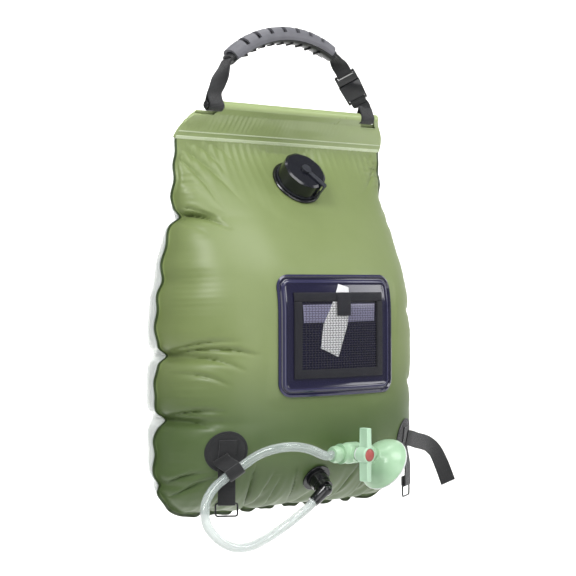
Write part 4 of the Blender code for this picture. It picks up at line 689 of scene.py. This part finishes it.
# The webbing: 20 mm black polypropylene tape, flat-woven and 1.4 mm thick, in three lengths, each folded double
# and sewn: from the grip to the rod on the left, and from the grip to the buckle and on to the rod on the right.
WEB_WIDTH = 0.020
WEB_THICKNESS = 0.0014
LAYER = WEB_THICKNESS / 2 + 0.00015
LOOP_SHARE = 2.2
BAR_RADIUS = 0.0016
SOCKET_DROP = 0.0275
PRONG_RISE = 0.0135
SLOT_LEAD = 0.004
SLOT_DEPTH = 0.0054
BUCKLE_UP = Vector((-0.58209, 0, 0.81312))
BUCKLE_MOUTH = Vector((0.0866, 0, 0.0377))
BUCKLE_SIDE = Vector((0.64075, -0.61566, 0.45869))
BAR_REACH = BAR_RADIUS + 0.0003 + WEB_THICKNESS / 2
# A wave texture has about one band a unit at this scale.
ONE_BAND = 0.32


def woven(name, colours, rib_mm, sheen=0.35):
    """Woven tape, dull and seen as rows of small bumps: ribs at a pitch along it, and at half that across."""
    material = new_material(name, colours[0], 0.8, {"Sheen Weight": sheen, "Sheen Roughness": 0.5})
    place = add_node(material, "UVMap", {}, {}).outputs["UV"]
    turn = add_node(material, "Mapping", {"Scale": (1000 / rib_mm, 1000 / rib_mm, 1)}, {"Vector": place})
    ribs = add_node(material, "TexWave", {"Scale": ONE_BAND, "Distortion": 0.4, "Detail": 1.0},
                    {"Vector": turn.outputs[0]}, bands_direction="X", wave_profile="SIN")
    rows = add_node(material, "TexWave", {"Scale": 2 * ONE_BAND, "Distortion": 0.3, "Detail": 1.0},
                    {"Vector": turn.outputs[0]}, bands_direction="Y", wave_profile="SIN")
    weave = add_node(material, "Math", {}, {0: ribs.outputs["Fac"], 1: rows.outputs["Fac"]}, operation="MULTIPLY")
    worn = add_node(material, "TexNoise", {"Scale": 0.05, "Detail": 3.0}, {"Vector": turn.outputs[0]})
    mix = add_node(material, "Math", {}, {0: weave.outputs[0], 1: worn.outputs["Fac"]}, operation="MULTIPLY")
    tint = add_node(material, "Mix", {6: linear(colours[0]), 7: linear(colours[1])}, {0: mix.outputs[0]},
                    data_type="RGBA")
    relief = add_node(material, "Bump", {"Strength": 0.7, "Distance": 0.0003}, {"Height": weave.outputs[0]})
    rough = add_node(material, "MapRange", {"To Min": 0.65, "To Max": 0.9}, {"Value": worn.outputs["Fac"]})
    shade(material, colour=tint.outputs[2], roughness=rough.outputs[0], normal=relief.outputs[0])
    return material


webbing = woven("black_polypropylene_webbing", ("#0b0b0d", "#2e2f33"), 1.6)


def strap(name, stations, body, nodes, steps=4):
    """Webbing through stations of (middle, direction across), with a rolled edge and a UV map in metres."""
    line = eased([Vector((*middle, *side)) for middle, side in stations], steps)
    bm = grid(8, len(line) - 1, calc_uvs=True)
    uv = bm.loops.layers.uv.verify()
    run = [0]
    for first, second in zip(line, line[1:]):
        run.append(run[-1] + (Vector(second[:3]) - Vector(first[:3])).length)
    for face in bm.faces:
        for loop in face.loops:
            row = round((loop.vert.co.y + 1) / 2 * (len(line) - 1))
            loop[uv].uv = (run[row], loop.vert.co.x * WEB_WIDTH / 2)
    for vert in bm.verts:
        spot = line[round((vert.co.y + 1) / 2 * (len(line) - 1))]
        vert.co = Vector(spot[:3]) + Vector(spot[3:]).normalized() * (vert.co.x * WEB_WIDTH / 2)
    piece = new_piece(name, bm, webbing, body, nodes, 60)
    walled(piece, WEB_THICKNESS)
    soft_edge(piece, WEB_THICKNESS * 0.3, 50)
    return piece


def wrap(centre, axis, start, radius, turn, steps):
    """Places along an arc about a point."""
    return [centre + Matrix.Rotation(turn * i / steps, 3, axis) @ start * radius for i in range(steps + 1)]


def bar_wrap(bar, side, away):
    """The stations of a strap's turn round a buckle's bar."""
    lean = math.acos(1 / LOOP_SHARE)
    start = away * math.cos(lean) + away.cross(side) * math.sin(lean)
    return [(point, side) for point in wrap(bar, side, start, BAR_REACH, 2 * (lean - math.pi), 8)]


def twisted(first, first_side, last, last_side, steps, layer):
    """One layer of a strap between two places, turning from one side's direction to the other's."""
    stations = []
    for i in range(steps + 1):
        side = first_side.lerp(last_side, smooth(i / steps)).normalized()
        normal = (last - first).cross(side).normalized()
        stations.append((first.lerp(last, i / steps) + normal * layer, side))
    return stations


def rod_loop(top, top_side, x):
    """Both layers of a strap from its upper end, round the rod and back."""
    rod = HEM_TOP + Vector((x, 0, -ROD_DOWN))
    reach = ROD_RADIUS + 0.0004 + WEB_THICKNESS / 2
    meet = rod + Vector((0, 0, LOOP_SHARE * reach))
    side = Vector((1, 0, 0))
    lean = math.acos(1 / LOOP_SHARE)
    down = twisted(top, top_side, meet, side, 5, -LAYER)
    start = Vector((0, math.copysign(math.sin(lean), down[-1][0].y), math.cos(lean)))
    turn = math.copysign(2 * (math.pi - lean), -start.y)
    around = [(point, side) for point in wrap(rod, side, start, reach, turn, 10)]
    return down + around + twisted(top, top_side, meet, side, 5, LAYER)[::-1]


def slot_layers(end, out):
    """Both layers of a strap inside the slot at the grip's end."""
    normal = out.cross(ACROSS) * LAYER
    deep = end - out * SLOT_DEPTH
    return [(deep - normal, ACROSS), (end - normal, ACROSS)], [(end + normal, ACROSS), (deep + normal, ACROSS)]


LEFT_END = HEM_TOP + Vector((-0.09724, 0, 0.04927))
LEFT_OUT = Vector((-0.72616, 0, -0.68752))
RIGHT_END = HEM_TOP + Vector((0.05958, 0, 0.06852))
RIGHT_OUT = Vector((0.87092, 0, -0.49142))
ACROSS = Vector((0, -1, 0))
head, tail = slot_layers(LEFT_END, LEFT_OUT)
strap("left_web_loop", head + rod_loop(LEFT_END + LEFT_OUT * SLOT_LEAD, ACROSS, LEFT_WEB) + tail, "handle",
      ["left_webbing"])
mouth = HEM_TOP + BUCKLE_MOUTH
bar = mouth - BUCKLE_UP * (SOCKET_DROP - BAR_RADIUS)
top = bar - BUCKLE_UP * LOOP_SHARE * BAR_REACH
first = top + (-BUCKLE_UP).cross(BUCKLE_SIDE) * LAYER
strap("right_lower_web_loop",
      [(first, BUCKLE_SIDE)] + bar_wrap(bar, BUCKLE_SIDE, -BUCKLE_UP) + rod_loop(top, BUCKLE_SIDE, RIGHT_WEB)[:-1],
      "handle", ["right_lower_webbing"])
head, tail = slot_layers(RIGHT_END, RIGHT_OUT)
bar = mouth + BUCKLE_UP * (PRONG_RISE - BAR_RADIUS)
top = RIGHT_END + RIGHT_OUT * SLOT_LEAD
meet = bar + BUCKLE_UP * LOOP_SHARE * BAR_REACH
upper = (head + twisted(top, ACROSS, meet, BUCKLE_SIDE, 4, -LAYER) + bar_wrap(bar, BUCKLE_SIDE, BUCKLE_UP)
         + twisted(top, ACROSS, meet, BUCKLE_SIDE, 4, LAYER)[::-1] + tail)
right_upper = strap("right_upper_web_loop", upper, None, ["right_upper_webbing"])
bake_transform(right_upper)


# The grip: a black moulded core with ribs under it, and a grey soft overmould with cross slots on top.
# The two are moulded together, and the straps are held in a slot in each end. The nylon is satin, the grey matt.
grip_black = moulded("satin_black_nylon", ("#0d0e10", "#191a1d"), (0.28, 0.42), 12, 0.4)
soft_grey = moulded("grey_soft_overmould", ("#58585d", "#6e6e74"), (0.42, 0.56), 16, 0.5, {"Sheen Weight": 0.1})
dressed("grip_core", "grip_core_moulding", grip_black, "handle", 0.0004)
dressed("grip_cover", "grip_overmould", soft_grey, "handle", 0.0006)


# The buckle: a side-release buckle of black acetal, moulded in two halves, each with a bar for its strap.
# The upper half's prongs spring into the lower half. Acetal from a polished mould is sharply glossy.
gloss_acetal = moulded("gloss_black_acetal", ("#08090b", "#121316"), (0.10, 0.20), 8, 0.6, {"Coat Weight": 0.4})
dressed("buckle_female", "buckle_socket", gloss_acetal, "handle", 0.0004)
dressed("buckle_male", "buckle_prongs", gloss_acetal, "buckle_half", 0.0004)


# The filler: a flange with a threaded neck, welded through the front film, and a ten-sided screw cap.
# A moulded leash holds the cap to the neck; a rubber washer seals it. The polyethylene is slate black with a
# soft shine, and the rubber is dull.
cap_plastic = moulded("slate_polyethylene", ("#101117", "#1b1c24"), (0.20, 0.28), 10, 0.5,
                       {"Coat Weight": 0.4, "Coat Roughness": 0.1, "Specular IOR Level": 0.28})
rubber = moulded("black_seal_rubber", ("#0b0b0b", "#151515"), (0.6, 0.75), 6, 0.4)
dressed("filler_flange", "filler_flange_ring", black_abs, "bag", 0.0003)
dressed("filler_cap", "filler_screw_cap", cap_plastic, "cap", 0.0014)
dressed("cap_gasket", "cap_washer", rubber, "cap", 0.0003)
leash_plastic = moulded("slate_leash_plastic", ("#24262c", "#34363d"), (0.34, 0.46), 8, 0.4)
dressed("cap_leash", "cap_tether_strap", leash_plastic, "cap_tether", 0.0003)


# The pocket: a rounded square of glossy dark film, welded to the front at its rim, which carries a net pouch.
# The net's tape binding is sewn on, its upper tape is the mouth, and a short tape tab closes it.
POCKET_X = 0.006
POCKET_DOWN = 0.278
POCKET_WIDE = 0.173
POCKET_TALL = 0.142
RIM_FROM = 0.001
GAP = 0.0003


def rounded_rectangle(bm, width, height, corner, steps):
    """A flat face with round corners, standing in the plane of X and Z."""
    verts = []
    for quarter in range(4):
        sx = 1 if quarter in (0, 3) else -1
        sz = 1 if quarter in (0, 1) else -1
        for i in range(steps + 1):
            angle = math.pi / 2 * (quarter + i / steps)
            verts.append(bm.verts.new((sx * (width / 2 - corner) + corner * math.cos(angle), 0,
                                       sz * (height / 2 - corner) + corner * math.sin(angle))))
    return bm.faces.new(verts)


def raised(bm, face, rises):
    """Insets a face step by step, each time to a height above the cloth, which is kept as -Y.

    What stands higher than RIM_FROM takes the piece's second material.
    """
    for inset, height in rises:
        for ring in bmesh.ops.inset_region(bm, faces=[face], thickness=inset, depth=0, use_boundary=True)["faces"]:
            ring.material_index = 1 if height > RIM_FROM else 0
        for vert in face.verts:
            vert.co.y = -height
    face.material_index = 0


def foreshortened(normal):
    """How much the film's slope shortens a flat piece laid on it, across and up."""
    return math.hypot(normal.x, normal.y) / -normal.y, math.hypot(normal.z, normal.y) / -normal.y


def lay_on_film(bm, x, down, off, cell, narrow=False):
    """Cuts a flat piece into cells and bends it to the front film, at a height above it."""
    reach = max(max(abs(v.co.x), abs(v.co.z)) for v in bm.verts)
    for i in range(-math.ceil(reach / cell), math.ceil(reach / cell) + 1):
        for axis in ((1, 0, 0), (0, 0, 1)):
            geom = bm.verts[:] + bm.edges[:] + bm.faces[:]
            bmesh.ops.bisect_plane(bm, geom=geom, dist=0.000001, plane_co=Vector(axis) * (i + 0.37) * cell,
                                   plane_no=axis)
    wide, tall = foreshortened(front_normal(x, down)) if narrow else (1, 1)
    for vert in bm.verts:
        vert.co = on_front(x + vert.co.x / wide, down - vert.co.z / tall, off - vert.co.y)


def backed(bm, thickness):
    """Gives a flat piece a back and sides."""
    faces = bm.faces[:]
    made = bmesh.ops.extrude_face_region(bm, geom=faces, use_keep_orig=True)
    back = {v for v in made["geom"] if isinstance(v, bmesh.types.BMVert)}
    for vert in back:
        vert.co.y = 0
    for vert in {v for f in faces for v in f.verts}:
        vert.co.y -= thickness
    bmesh.ops.recalc_face_normals(bm, faces=bm.faces)


# Calendered black PVC with a blue cast, so smooth that it mirrors the lights.
gloss_film = film_material("gloss_black_pvc_film", ("#131128", "#1c1a3a"), (0.10, 0.20),
                           {"Coat Weight": 0.6, "Coat Roughness": 0.05}, 0.01)
# The pressed rim's paler lilac colour is a painted sheen: the highlights that the glossy raised rim catches from the
# lamps.
rim_film_painted_sheen = film_material("pocket_rim_film_painted_sheen", ("#292844", "#353453"), (0.10, 0.22), {"Coat Weight": 0.5}, 0.05)
bm = bmesh.new()
sheet = rounded_rectangle(bm, POCKET_WIDE, POCKET_TALL, 0.016, 8)
# The raised weld rings take the second material, the painted sheen.
raised(bm, sheet, [(0.0012, 0.0009), (0.0024, 0.0018), (0.0014, 0.0), (0.0022, 0.0), (0.0012, 0.0014),
                   (0.0026, 0.0014), (0.0016, 0.0002), (0.0050, 0.0002)])
backed(bm, 0.0006)
lay_on_film(bm, POCKET_X, POCKET_DOWN, GAP, 0.007)
pocket_sheet = new_piece("pocket_gloss_sheet", bm, gloss_film, "bag", ["pocket_panel"], 50)
pocket_sheet.data.materials.append(rim_film_painted_sheen)

# Polyester tape with 1 mm ribs, dyed black: no sheen to speak of.
dark_tape = woven("dyed_black_binding_tape", ("#0a0a14", "#1f1f30"), 1.0, 0.06)
ON_POCKET = GAP + 0.0008 + GAP


def mapped_flat(bm):
    """A UV map in metres, as the piece lies flat."""
    uv = bm.loops.layers.uv.verify()
    for face in bm.faces:
        for loop in face.loops:
            loop[uv].uv = (loop.vert.co.x, loop.vert.co.z)


def taped(name, outline, x, down, off, thickness, nodes, cloth=dark_tape):
    """A flat piece of tape, film or card cut to an outline, with a rounded face, laid over the pocket."""
    bm = bmesh.new()
    face = bm.faces.new([bm.verts.new((px, 0, pz)) for px, pz in outline])
    backed(bm, thickness)
    edges = [e for e in bm.edges if all(v.co.y < -thickness / 2 for v in e.verts)]
    bmesh.ops.bevel(bm, geom=edges, offset=thickness * 0.45, segments=2, profile=0.5, affect="EDGES", material=-1)
    mapped_flat(bm)
    lay_on_film(bm, x, down, off, 0.008)
    bmesh.ops.recalc_face_normals(bm, faces=bm.faces)
    new_piece(name, bm, cloth, "bag", nodes, 40)


# The binding's thickness, and its outline about the pocket's middle.
BINDING = 0.0020
HALF = 0.067
INNER = HALF - 0.010
FOOT = -0.050
TOP = 0.0397
taped("pocket_tape_binding", [(-HALF, FOOT), (HALF, FOOT), (HALF, TOP), (INNER, TOP), (INNER, FOOT + 0.010),
                              (-INNER, FOOT + 0.010), (-INNER, TOP), (-HALF, TOP)],
      POCKET_X, POCKET_DOWN, ON_POCKET, BINDING, ["pocket_binding"])
MOUTH_DOWN = POCKET_DOWN - 0.045
taped("pocket_mouth_tape", [(-HALF, -0.005), (HALF, -0.005), (HALF, 0.005), (-HALF, 0.005)], POCKET_X, MOUTH_DOWN,
      ON_POCKET + 0.0007, BINDING - 0.0007, ["pocket_mouth_band"])
taped("pocket_closing_tab", [(-0.010, -0.013), (0.010, -0.013), (0.010, 0.011), (0.008, 0.013), (-0.008, 0.013),
                             (-0.010, 0.011)],
      POCKET_X + 0.002, MOUTH_DOWN + 0.026 / 3, ON_POCKET + BINDING + GAP, 0.0008, ["pocket_tab"])

# The net: knitted black polyester with meshes of about 4 by 3 mm. Each strand is a fine, dull cord.
net_yarn = new_material("black_polyester_net", "#0d0d0f", 0.75, {"Sheen Weight": 0.2})
place = add_node(net_yarn, "TexCoord", {}, {}).outputs["Object"]
yarn = add_node(net_yarn, "TexNoise", {"Scale": 900.0, "Detail": 2.0}, {"Vector": place})
shade(net_yarn, roughness=add_node(net_yarn, "MapRange", {"To Min": 0.6, "To Max": 0.9},
                                   {"Value": yarn.outputs["Fac"]}).outputs[0],
      normal=add_node(net_yarn, "Bump", {"Strength": 0.5, "Distance": 0.0002},
                      {"Height": yarn.outputs["Fac"]}).outputs[0])
COLUMNS = 27
ROWS = 28
STRAND = 0.0005
bm = grid(COLUMNS, ROWS)
for vert in bm.verts:
    row = round((vert.co.y + 1) / 2 * ROWS)
    column = (vert.co.x + 1) / 2 * COLUMNS
    shift = 0.5 if row % 2 and 0.5 < column < COLUMNS - 0.5 else 0
    across_share = (column + shift) / COLUMNS - 0.5
    vert.co = on_front(POCKET_X + across_share * (2 * INNER - 2 * GAP), POCKET_DOWN - vert.co.y * TOP,
                       ON_POCKET + 0.0011)
bm.normal_update()
bmesh.ops.wireframe(bm, faces=bm.faces, thickness=STRAND, use_boundary=True, use_even_offset=True, use_replace=True)
bmesh.ops.recalc_face_normals(bm, faces=bm.faces)
new_piece("pocket_net_mesh", bm, net_yarn, "bag", ["pocket_net"], 80)

# A pale lilac band of film behind the net under its mouth: a painted reflection of a bright light on the glossy
# pocket.
painted_reflection_film = film_material("painted_reflection_lilac_film", ("#7b7996", "#9a98b4"), (0.25, 0.40), {"Coat Weight": 0.2}, 0.05)
taped("pocket_painted_reflection_band", [(-0.054, -0.011), (0.053, -0.010), (0.054, 0.011), (-0.055, 0.010)],
      POCKET_X, POCKET_DOWN - 0.026, ON_POCKET - 0.0001, 0.0003, [], painted_reflection_film)

# The card: a blank slip of uncoated white card that shows through the net, matt with faint fibres.
card_stock = new_material("uncoated_white_card", "#dedee0", 0.7)
place = add_node(card_stock, "TexCoord", {}, {}).outputs["Object"]
fibre = add_node(card_stock, "TexNoise", {"Scale": 500.0, "Detail": 4.0}, {"Vector": place})
shade(card_stock, colour=add_node(card_stock, "Mix", {6: linear("#d6d6d9"), 7: linear("#e6e6e6")},
                                  {0: fibre.outputs["Fac"]}, data_type="RGBA").outputs[2],
      normal=add_node(card_stock, "Bump", {"Strength": 0.2, "Distance": 0.0001},
                      {"Height": fibre.outputs["Fac"]}).outputs[0])
taped("pocket_blank_card", [(0, 0.040), (0.015, 0.036), (0.011, -0.007), (-0.003, -0.046), (-0.029, -0.035),
                            (-0.025, -0.007)],
      POCKET_X - 0.002, POCKET_DOWN - 0.020, ON_POCKET + GAP, 0.0004, ["pocket_card"], card_stock)


# The strap patches: stitched discs of black coated cloth low on the front. Each holds a short tape with a wire
# ring, and a long tape: the left one closes over the hose, the right one hangs open. The coated cloth is matt
# with a fine weave, and the sewing thread is a little paler.
PATCH_X = 0.134
PATCH_DOWN = 0.410
PATCH_RADIUS = 0.0245
PATCH_SEAM = 0.0228
PATCH_TOP = GAP + 0.0010
HALF_WEB = WEB_THICKNESS / 2
ON_PATCH = PATCH_TOP + GAP + HALF_WEB
ON_RING_STRAP = ON_PATCH + WEB_THICKNESS + GAP
STITCH = 0.0024
THREAD = 0.0004
STITCH_PITCH = 0.0028
POCKET_PITCH = 0.0032
patch_cloth = woven("black_coated_patch_cloth", ("#101113", "#26272b"), 0.9)
thread = moulded("black_sewing_thread", ("#1d1e21", "#303136"), (0.6, 0.8), 2, 0.3)


def stitches(name, places):
    """A row of lockstitches on the bag: one small rounded bead for each (middle, along, out)."""
    bm = bmesh.new()
    for middle, along, out in places:
        z = Vector(out).normalized()
        x = (along - z * along.dot(z)).normalized()
        turn = Matrix((x, z.cross(x), z)).transposed().to_4x4()
        bead = Matrix.Diagonal((STITCH / 2, THREAD / 2, THREAD / 2, 1))
        bmesh.ops.create_icosphere(bm, subdivisions=1, radius=1, matrix=Matrix.Translation(middle) @ turn @ bead)
    new_piece(name, bm, thread, "bag", [], 80)


def film_row(points):
    """Stitch places along a line of (x, down) over the pocket's binding."""
    places = []
    for (x0, d0), (x1, d1) in zip(points, points[1:]):
        count = max(round(math.hypot(x1 - x0, d1 - d0) / POCKET_PITCH), 1)
        for i in range(count):
            share = (i + 0.5) / count
            x = x0 + (x1 - x0) * share
            down = d0 + (d1 - d0) * share
            along = on_front(x0 + (x1 - x0) * (share + 0.01), d0 + (d1 - d0) * (share + 0.01)) - on_front(x, down)
            places.append((on_front(x, down, ON_POCKET + BINDING), along.normalized(), front_normal(x, down)))
    return places


# Two rows round the binding's three sides, and one across the mouth tape.
places = []
row_top = POCKET_DOWN - 0.038
for reach, row_foot in ((HALF - 0.0014, POCKET_DOWN + 0.0486), (INNER + 0.0014, POCKET_DOWN + 0.0414)):
    left, right = POCKET_X - reach, POCKET_X + reach
    places += film_row([(left, row_top), (left, row_foot), (right, row_foot), (right, row_top)])
reach = HALF - 0.0014
places += film_row([(POCKET_X + side * reach, MOUTH_DOWN + 0.0037) for side in (-1, 1)])
stitches("pocket_stitching", places)

for label, side in (("left", -1), ("right", 1)):
    x = side * PATCH_X
    bm = bmesh.new()
    bmesh.ops.create_circle(bm, cap_ends=True, radius=PATCH_RADIUS, segments=72,
                            matrix=Matrix.Rotation(math.pi / 2, 4, "X"))
    raised(bm, bm.faces[:][0], [(0.0006, 0.0003), (0.0016, 0.0003), (0.0006, 0), (0.0008, 0), (0.0006, 0.0003)])
    backed(bm, 0.0007)
    mapped_flat(bm)
    lay_on_film(bm, x, PATCH_DOWN, GAP, 0.006, narrow=True)
    new_piece(f"{label}_sewn_patch", bm, patch_cloth, "bag", [f"{label}_patch"], 50)
    # The short tape is sewn down the patch, then hangs to the ring's bar and turns back round it
    normal = front_normal(x, PATCH_DOWN)
    level_across = Vector((0, 0, 1)).cross(normal).normalized()
    level = Vector((normal.x, normal.y, 0)).normalized()
    sewn = [on_front(x, PATCH_DOWN - 0.014 + 0.008 * i, ON_PATCH) for i in range(4)]
    hang = [sewn[-1] + Vector((0, 0, -0.048 * share)) + level * 0.004 * smooth(share * 2)
            for share in (0.25, 0.5, 0.75, 1)]
    reach = 0.0011 + GAP + HALF_WEB
    fold = wrap(hang[-1] - level * reach, level_across, level, reach, math.pi, 6)
    stations = [(p, level_across) for p in sewn + hang[:-1] + fold + [fold[-1] + Vector((0, 0, 0.010))]]
    strap(f"{label}_ring_tape", stations, "bag", [f"{label}_ring_strap"])
    dressed(f"{label}_ring", f"{label}_wire_ring", black_abs, f"{label}_strap_ring", 0)
    face_out = front_normal(x, PATCH_DOWN - 0.010)
    rows = [(on_front(x + i * STITCH_PITCH, PATCH_DOWN - rise, ON_PATCH + HALF_WEB), level_across, face_out)
            for rise in (0.0125, 0.0105, -0.004, -0.006) for i in range(-3, 4)]
    wide, tall = foreshortened(normal)
    for k in range(44):
        angle = 2 * math.pi * k / 44
        spot_x = x + PATCH_SEAM * math.cos(angle) / wide
        spot_down = PATCH_DOWN - PATCH_SEAM * math.sin(angle) / tall
        rows.append((on_front(spot_x, spot_down, PATCH_TOP), Vector((-math.sin(angle), 0, math.cos(angle))),
                     front_normal(spot_x, spot_down)))
    stitches(f"{label}_patch_stitching", rows)

# The left tape comes up off the patch's ring tape and closes over the hose.
hold_first, hold_last = Vector(HOSE_POINTS[11]), Vector(HOSE_POINTS[12])
hold = (hold_first + hold_last) / 2
hold_along = (hold_last - hold_first).normalized()
hold_normal = front_normal(hold.x - HEM_TOP.x, HEM_TOP.z - hold.z)
hold_over = (hold_normal - hold_along * hold_normal.dot(hold_along)).normalized()
hold_back = hold_over.cross(hold_along)
hold_reach = HOSE_RADIUS + 3 * GAP + HALF_WEB
stations = []
for far in (0.012, 0.006):
    spot = hold + hold_back * (hold_reach + far) - HEM_TOP
    x, down = spot.x, -spot.z
    for _ in range(6):
        place = on_front(x, down, ON_RING_STRAP + 0.0018) - HEM_TOP
        x += spot.x - place.x
        down += place.z - spot.z
    face_out = front_normal(place.x, -place.z)
    stations.append((place + HEM_TOP, (hold_along - face_out * hold_along.dot(face_out)).normalized()))
stations += [(p, hold_along) for p in wrap(hold, hold_along, hold_back, hold_reach, math.pi, 8)]
strap("left_hose_tape", stations, "bag", ["left_hose_strap"])

# The right tape stands out to the side and hangs. Each place is a share of its whole reach in x, y and z.
OPEN_REACH = Vector((0.093, 0.024, -0.066))
OPEN_SHARES = [(0, 0, 0), (0.09, 0.08, 0.02), (0.25, 0.33, 0.08), (0.44, 0.62, 0.14), (0.59, 0.83, 0.21),
               (0.74, 0.96, 0.35), (0.85, 1, 0.57), (0.93, 1, 0.79), (1, 1, 1)]
start = on_front(PATCH_X, PATCH_DOWN, ON_RING_STRAP)
points = [start + Vector([r * s for r, s in zip(OPEN_REACH, shares)]) for shares in OPEN_SHARES]
normal = front_normal(PATCH_X, PATCH_DOWN)
stations = []
for i, point in enumerate(points):
    way = (points[min(i + 1, len(points) - 1)] - points[max(i - 1, 0)]).normalized()
    face_out = normal.lerp(Vector((-0.5, -0.85, 0.1)), smooth(i / (len(points) - 1)))
    stations.append((point, way.cross(face_out).normalized()))
strap("right_open_tape", stations, "bag", ["right_strap_tail"], 6)
# A box of stitches closes its end, on the side that faces the front.
end_point, end_side = stations[-1]
end_way = (points[-1] - points[-2]).normalized()
end_out = end_side.cross(end_way).normalized()
if end_out.y > 0:
    end_out = -end_out
end_face = end_point + end_out * 0.0008
rows = [(end_face - end_way * back + end_side * i * STITCH_PITCH, end_side, end_out)
        for back in (0.003, 0.017) for i in range(-2, 3)]
rows += [(end_face - end_way * (0.003 + 0.014 * i / 5) + end_side * rise, end_way, end_out)
         for rise in (-0.0068, 0.0068) for i in range(6)]
stitches("right_tape_stitching", rows)


# The outlet: a flange and spigot welded through the front film, a ribbed nut that clamps them, and an elbow
# with a tapered tail for the hose. All are moulded in black plastic, the flange in ABS; the washer is rubber.
dressed("outlet_flange", "outlet_flange_ring", black_abs, "bag", 0.0004)
dressed("outlet_gasket", "outlet_washer", rubber, "bag", 0.0002)
dressed("outlet_nut", "outlet_ribbed_nut", gloss_acetal, "bag", 0.0003)
dressed("outlet_elbow", "outlet_elbow_tail", gloss_acetal, "bag", 0.0004)


# The hand shower: mint green ABS, moulded in parts and pressed together, with a quarter-turn tap on its barrel.
# The rose's white face plate is pierced with small jets. ABS from a polished mould has an even, soft gloss.
mint_abs = moulded("mint_green_abs", ("#a0c5a1", "#aecfad"), (0.24, 0.36), 14, 0.5, {"Coat Weight": 0.2})
pale_abs = moulded("pale_mint_abs", ("#aed1b2", "#bcdcc0"), (0.28, 0.40), 14, 0.5, {"Coat Weight": 0.15})
white_abs = moulded("white_abs", ("#d9dedb", "#e8ebe9"), (0.30, 0.42), 14, 0.5)
red_abs = moulded("dull_red_abs", ("#a34d48", "#b5605a"), (0.34, 0.46), 8, 0.4)
dressed("hose_collar", "hose_mint_collar", mint_abs, "bag", 0.0005)
dressed("valve_body", "valve_mint_barrel", mint_abs, "bag", 0.0004)
dressed("tap_gland", "tap_white_gland", white_abs, "bag", 0.0002)
dressed("rose_shell", "rose_mint_shell", mint_abs, "bag", 0.0005)
dressed("rose_plate", "rose_white_plate", white_abs, "bag", 0.0004)
dressed("tap_handle", "tap_pale_handle", pale_abs, "tap", 0.0004)
dressed("tap_spindle", "tap_white_spindle", white_abs, "tap", 0.0002)
dressed("tap_cap", "tap_red_cap", red_abs, "tap", 0.0004)
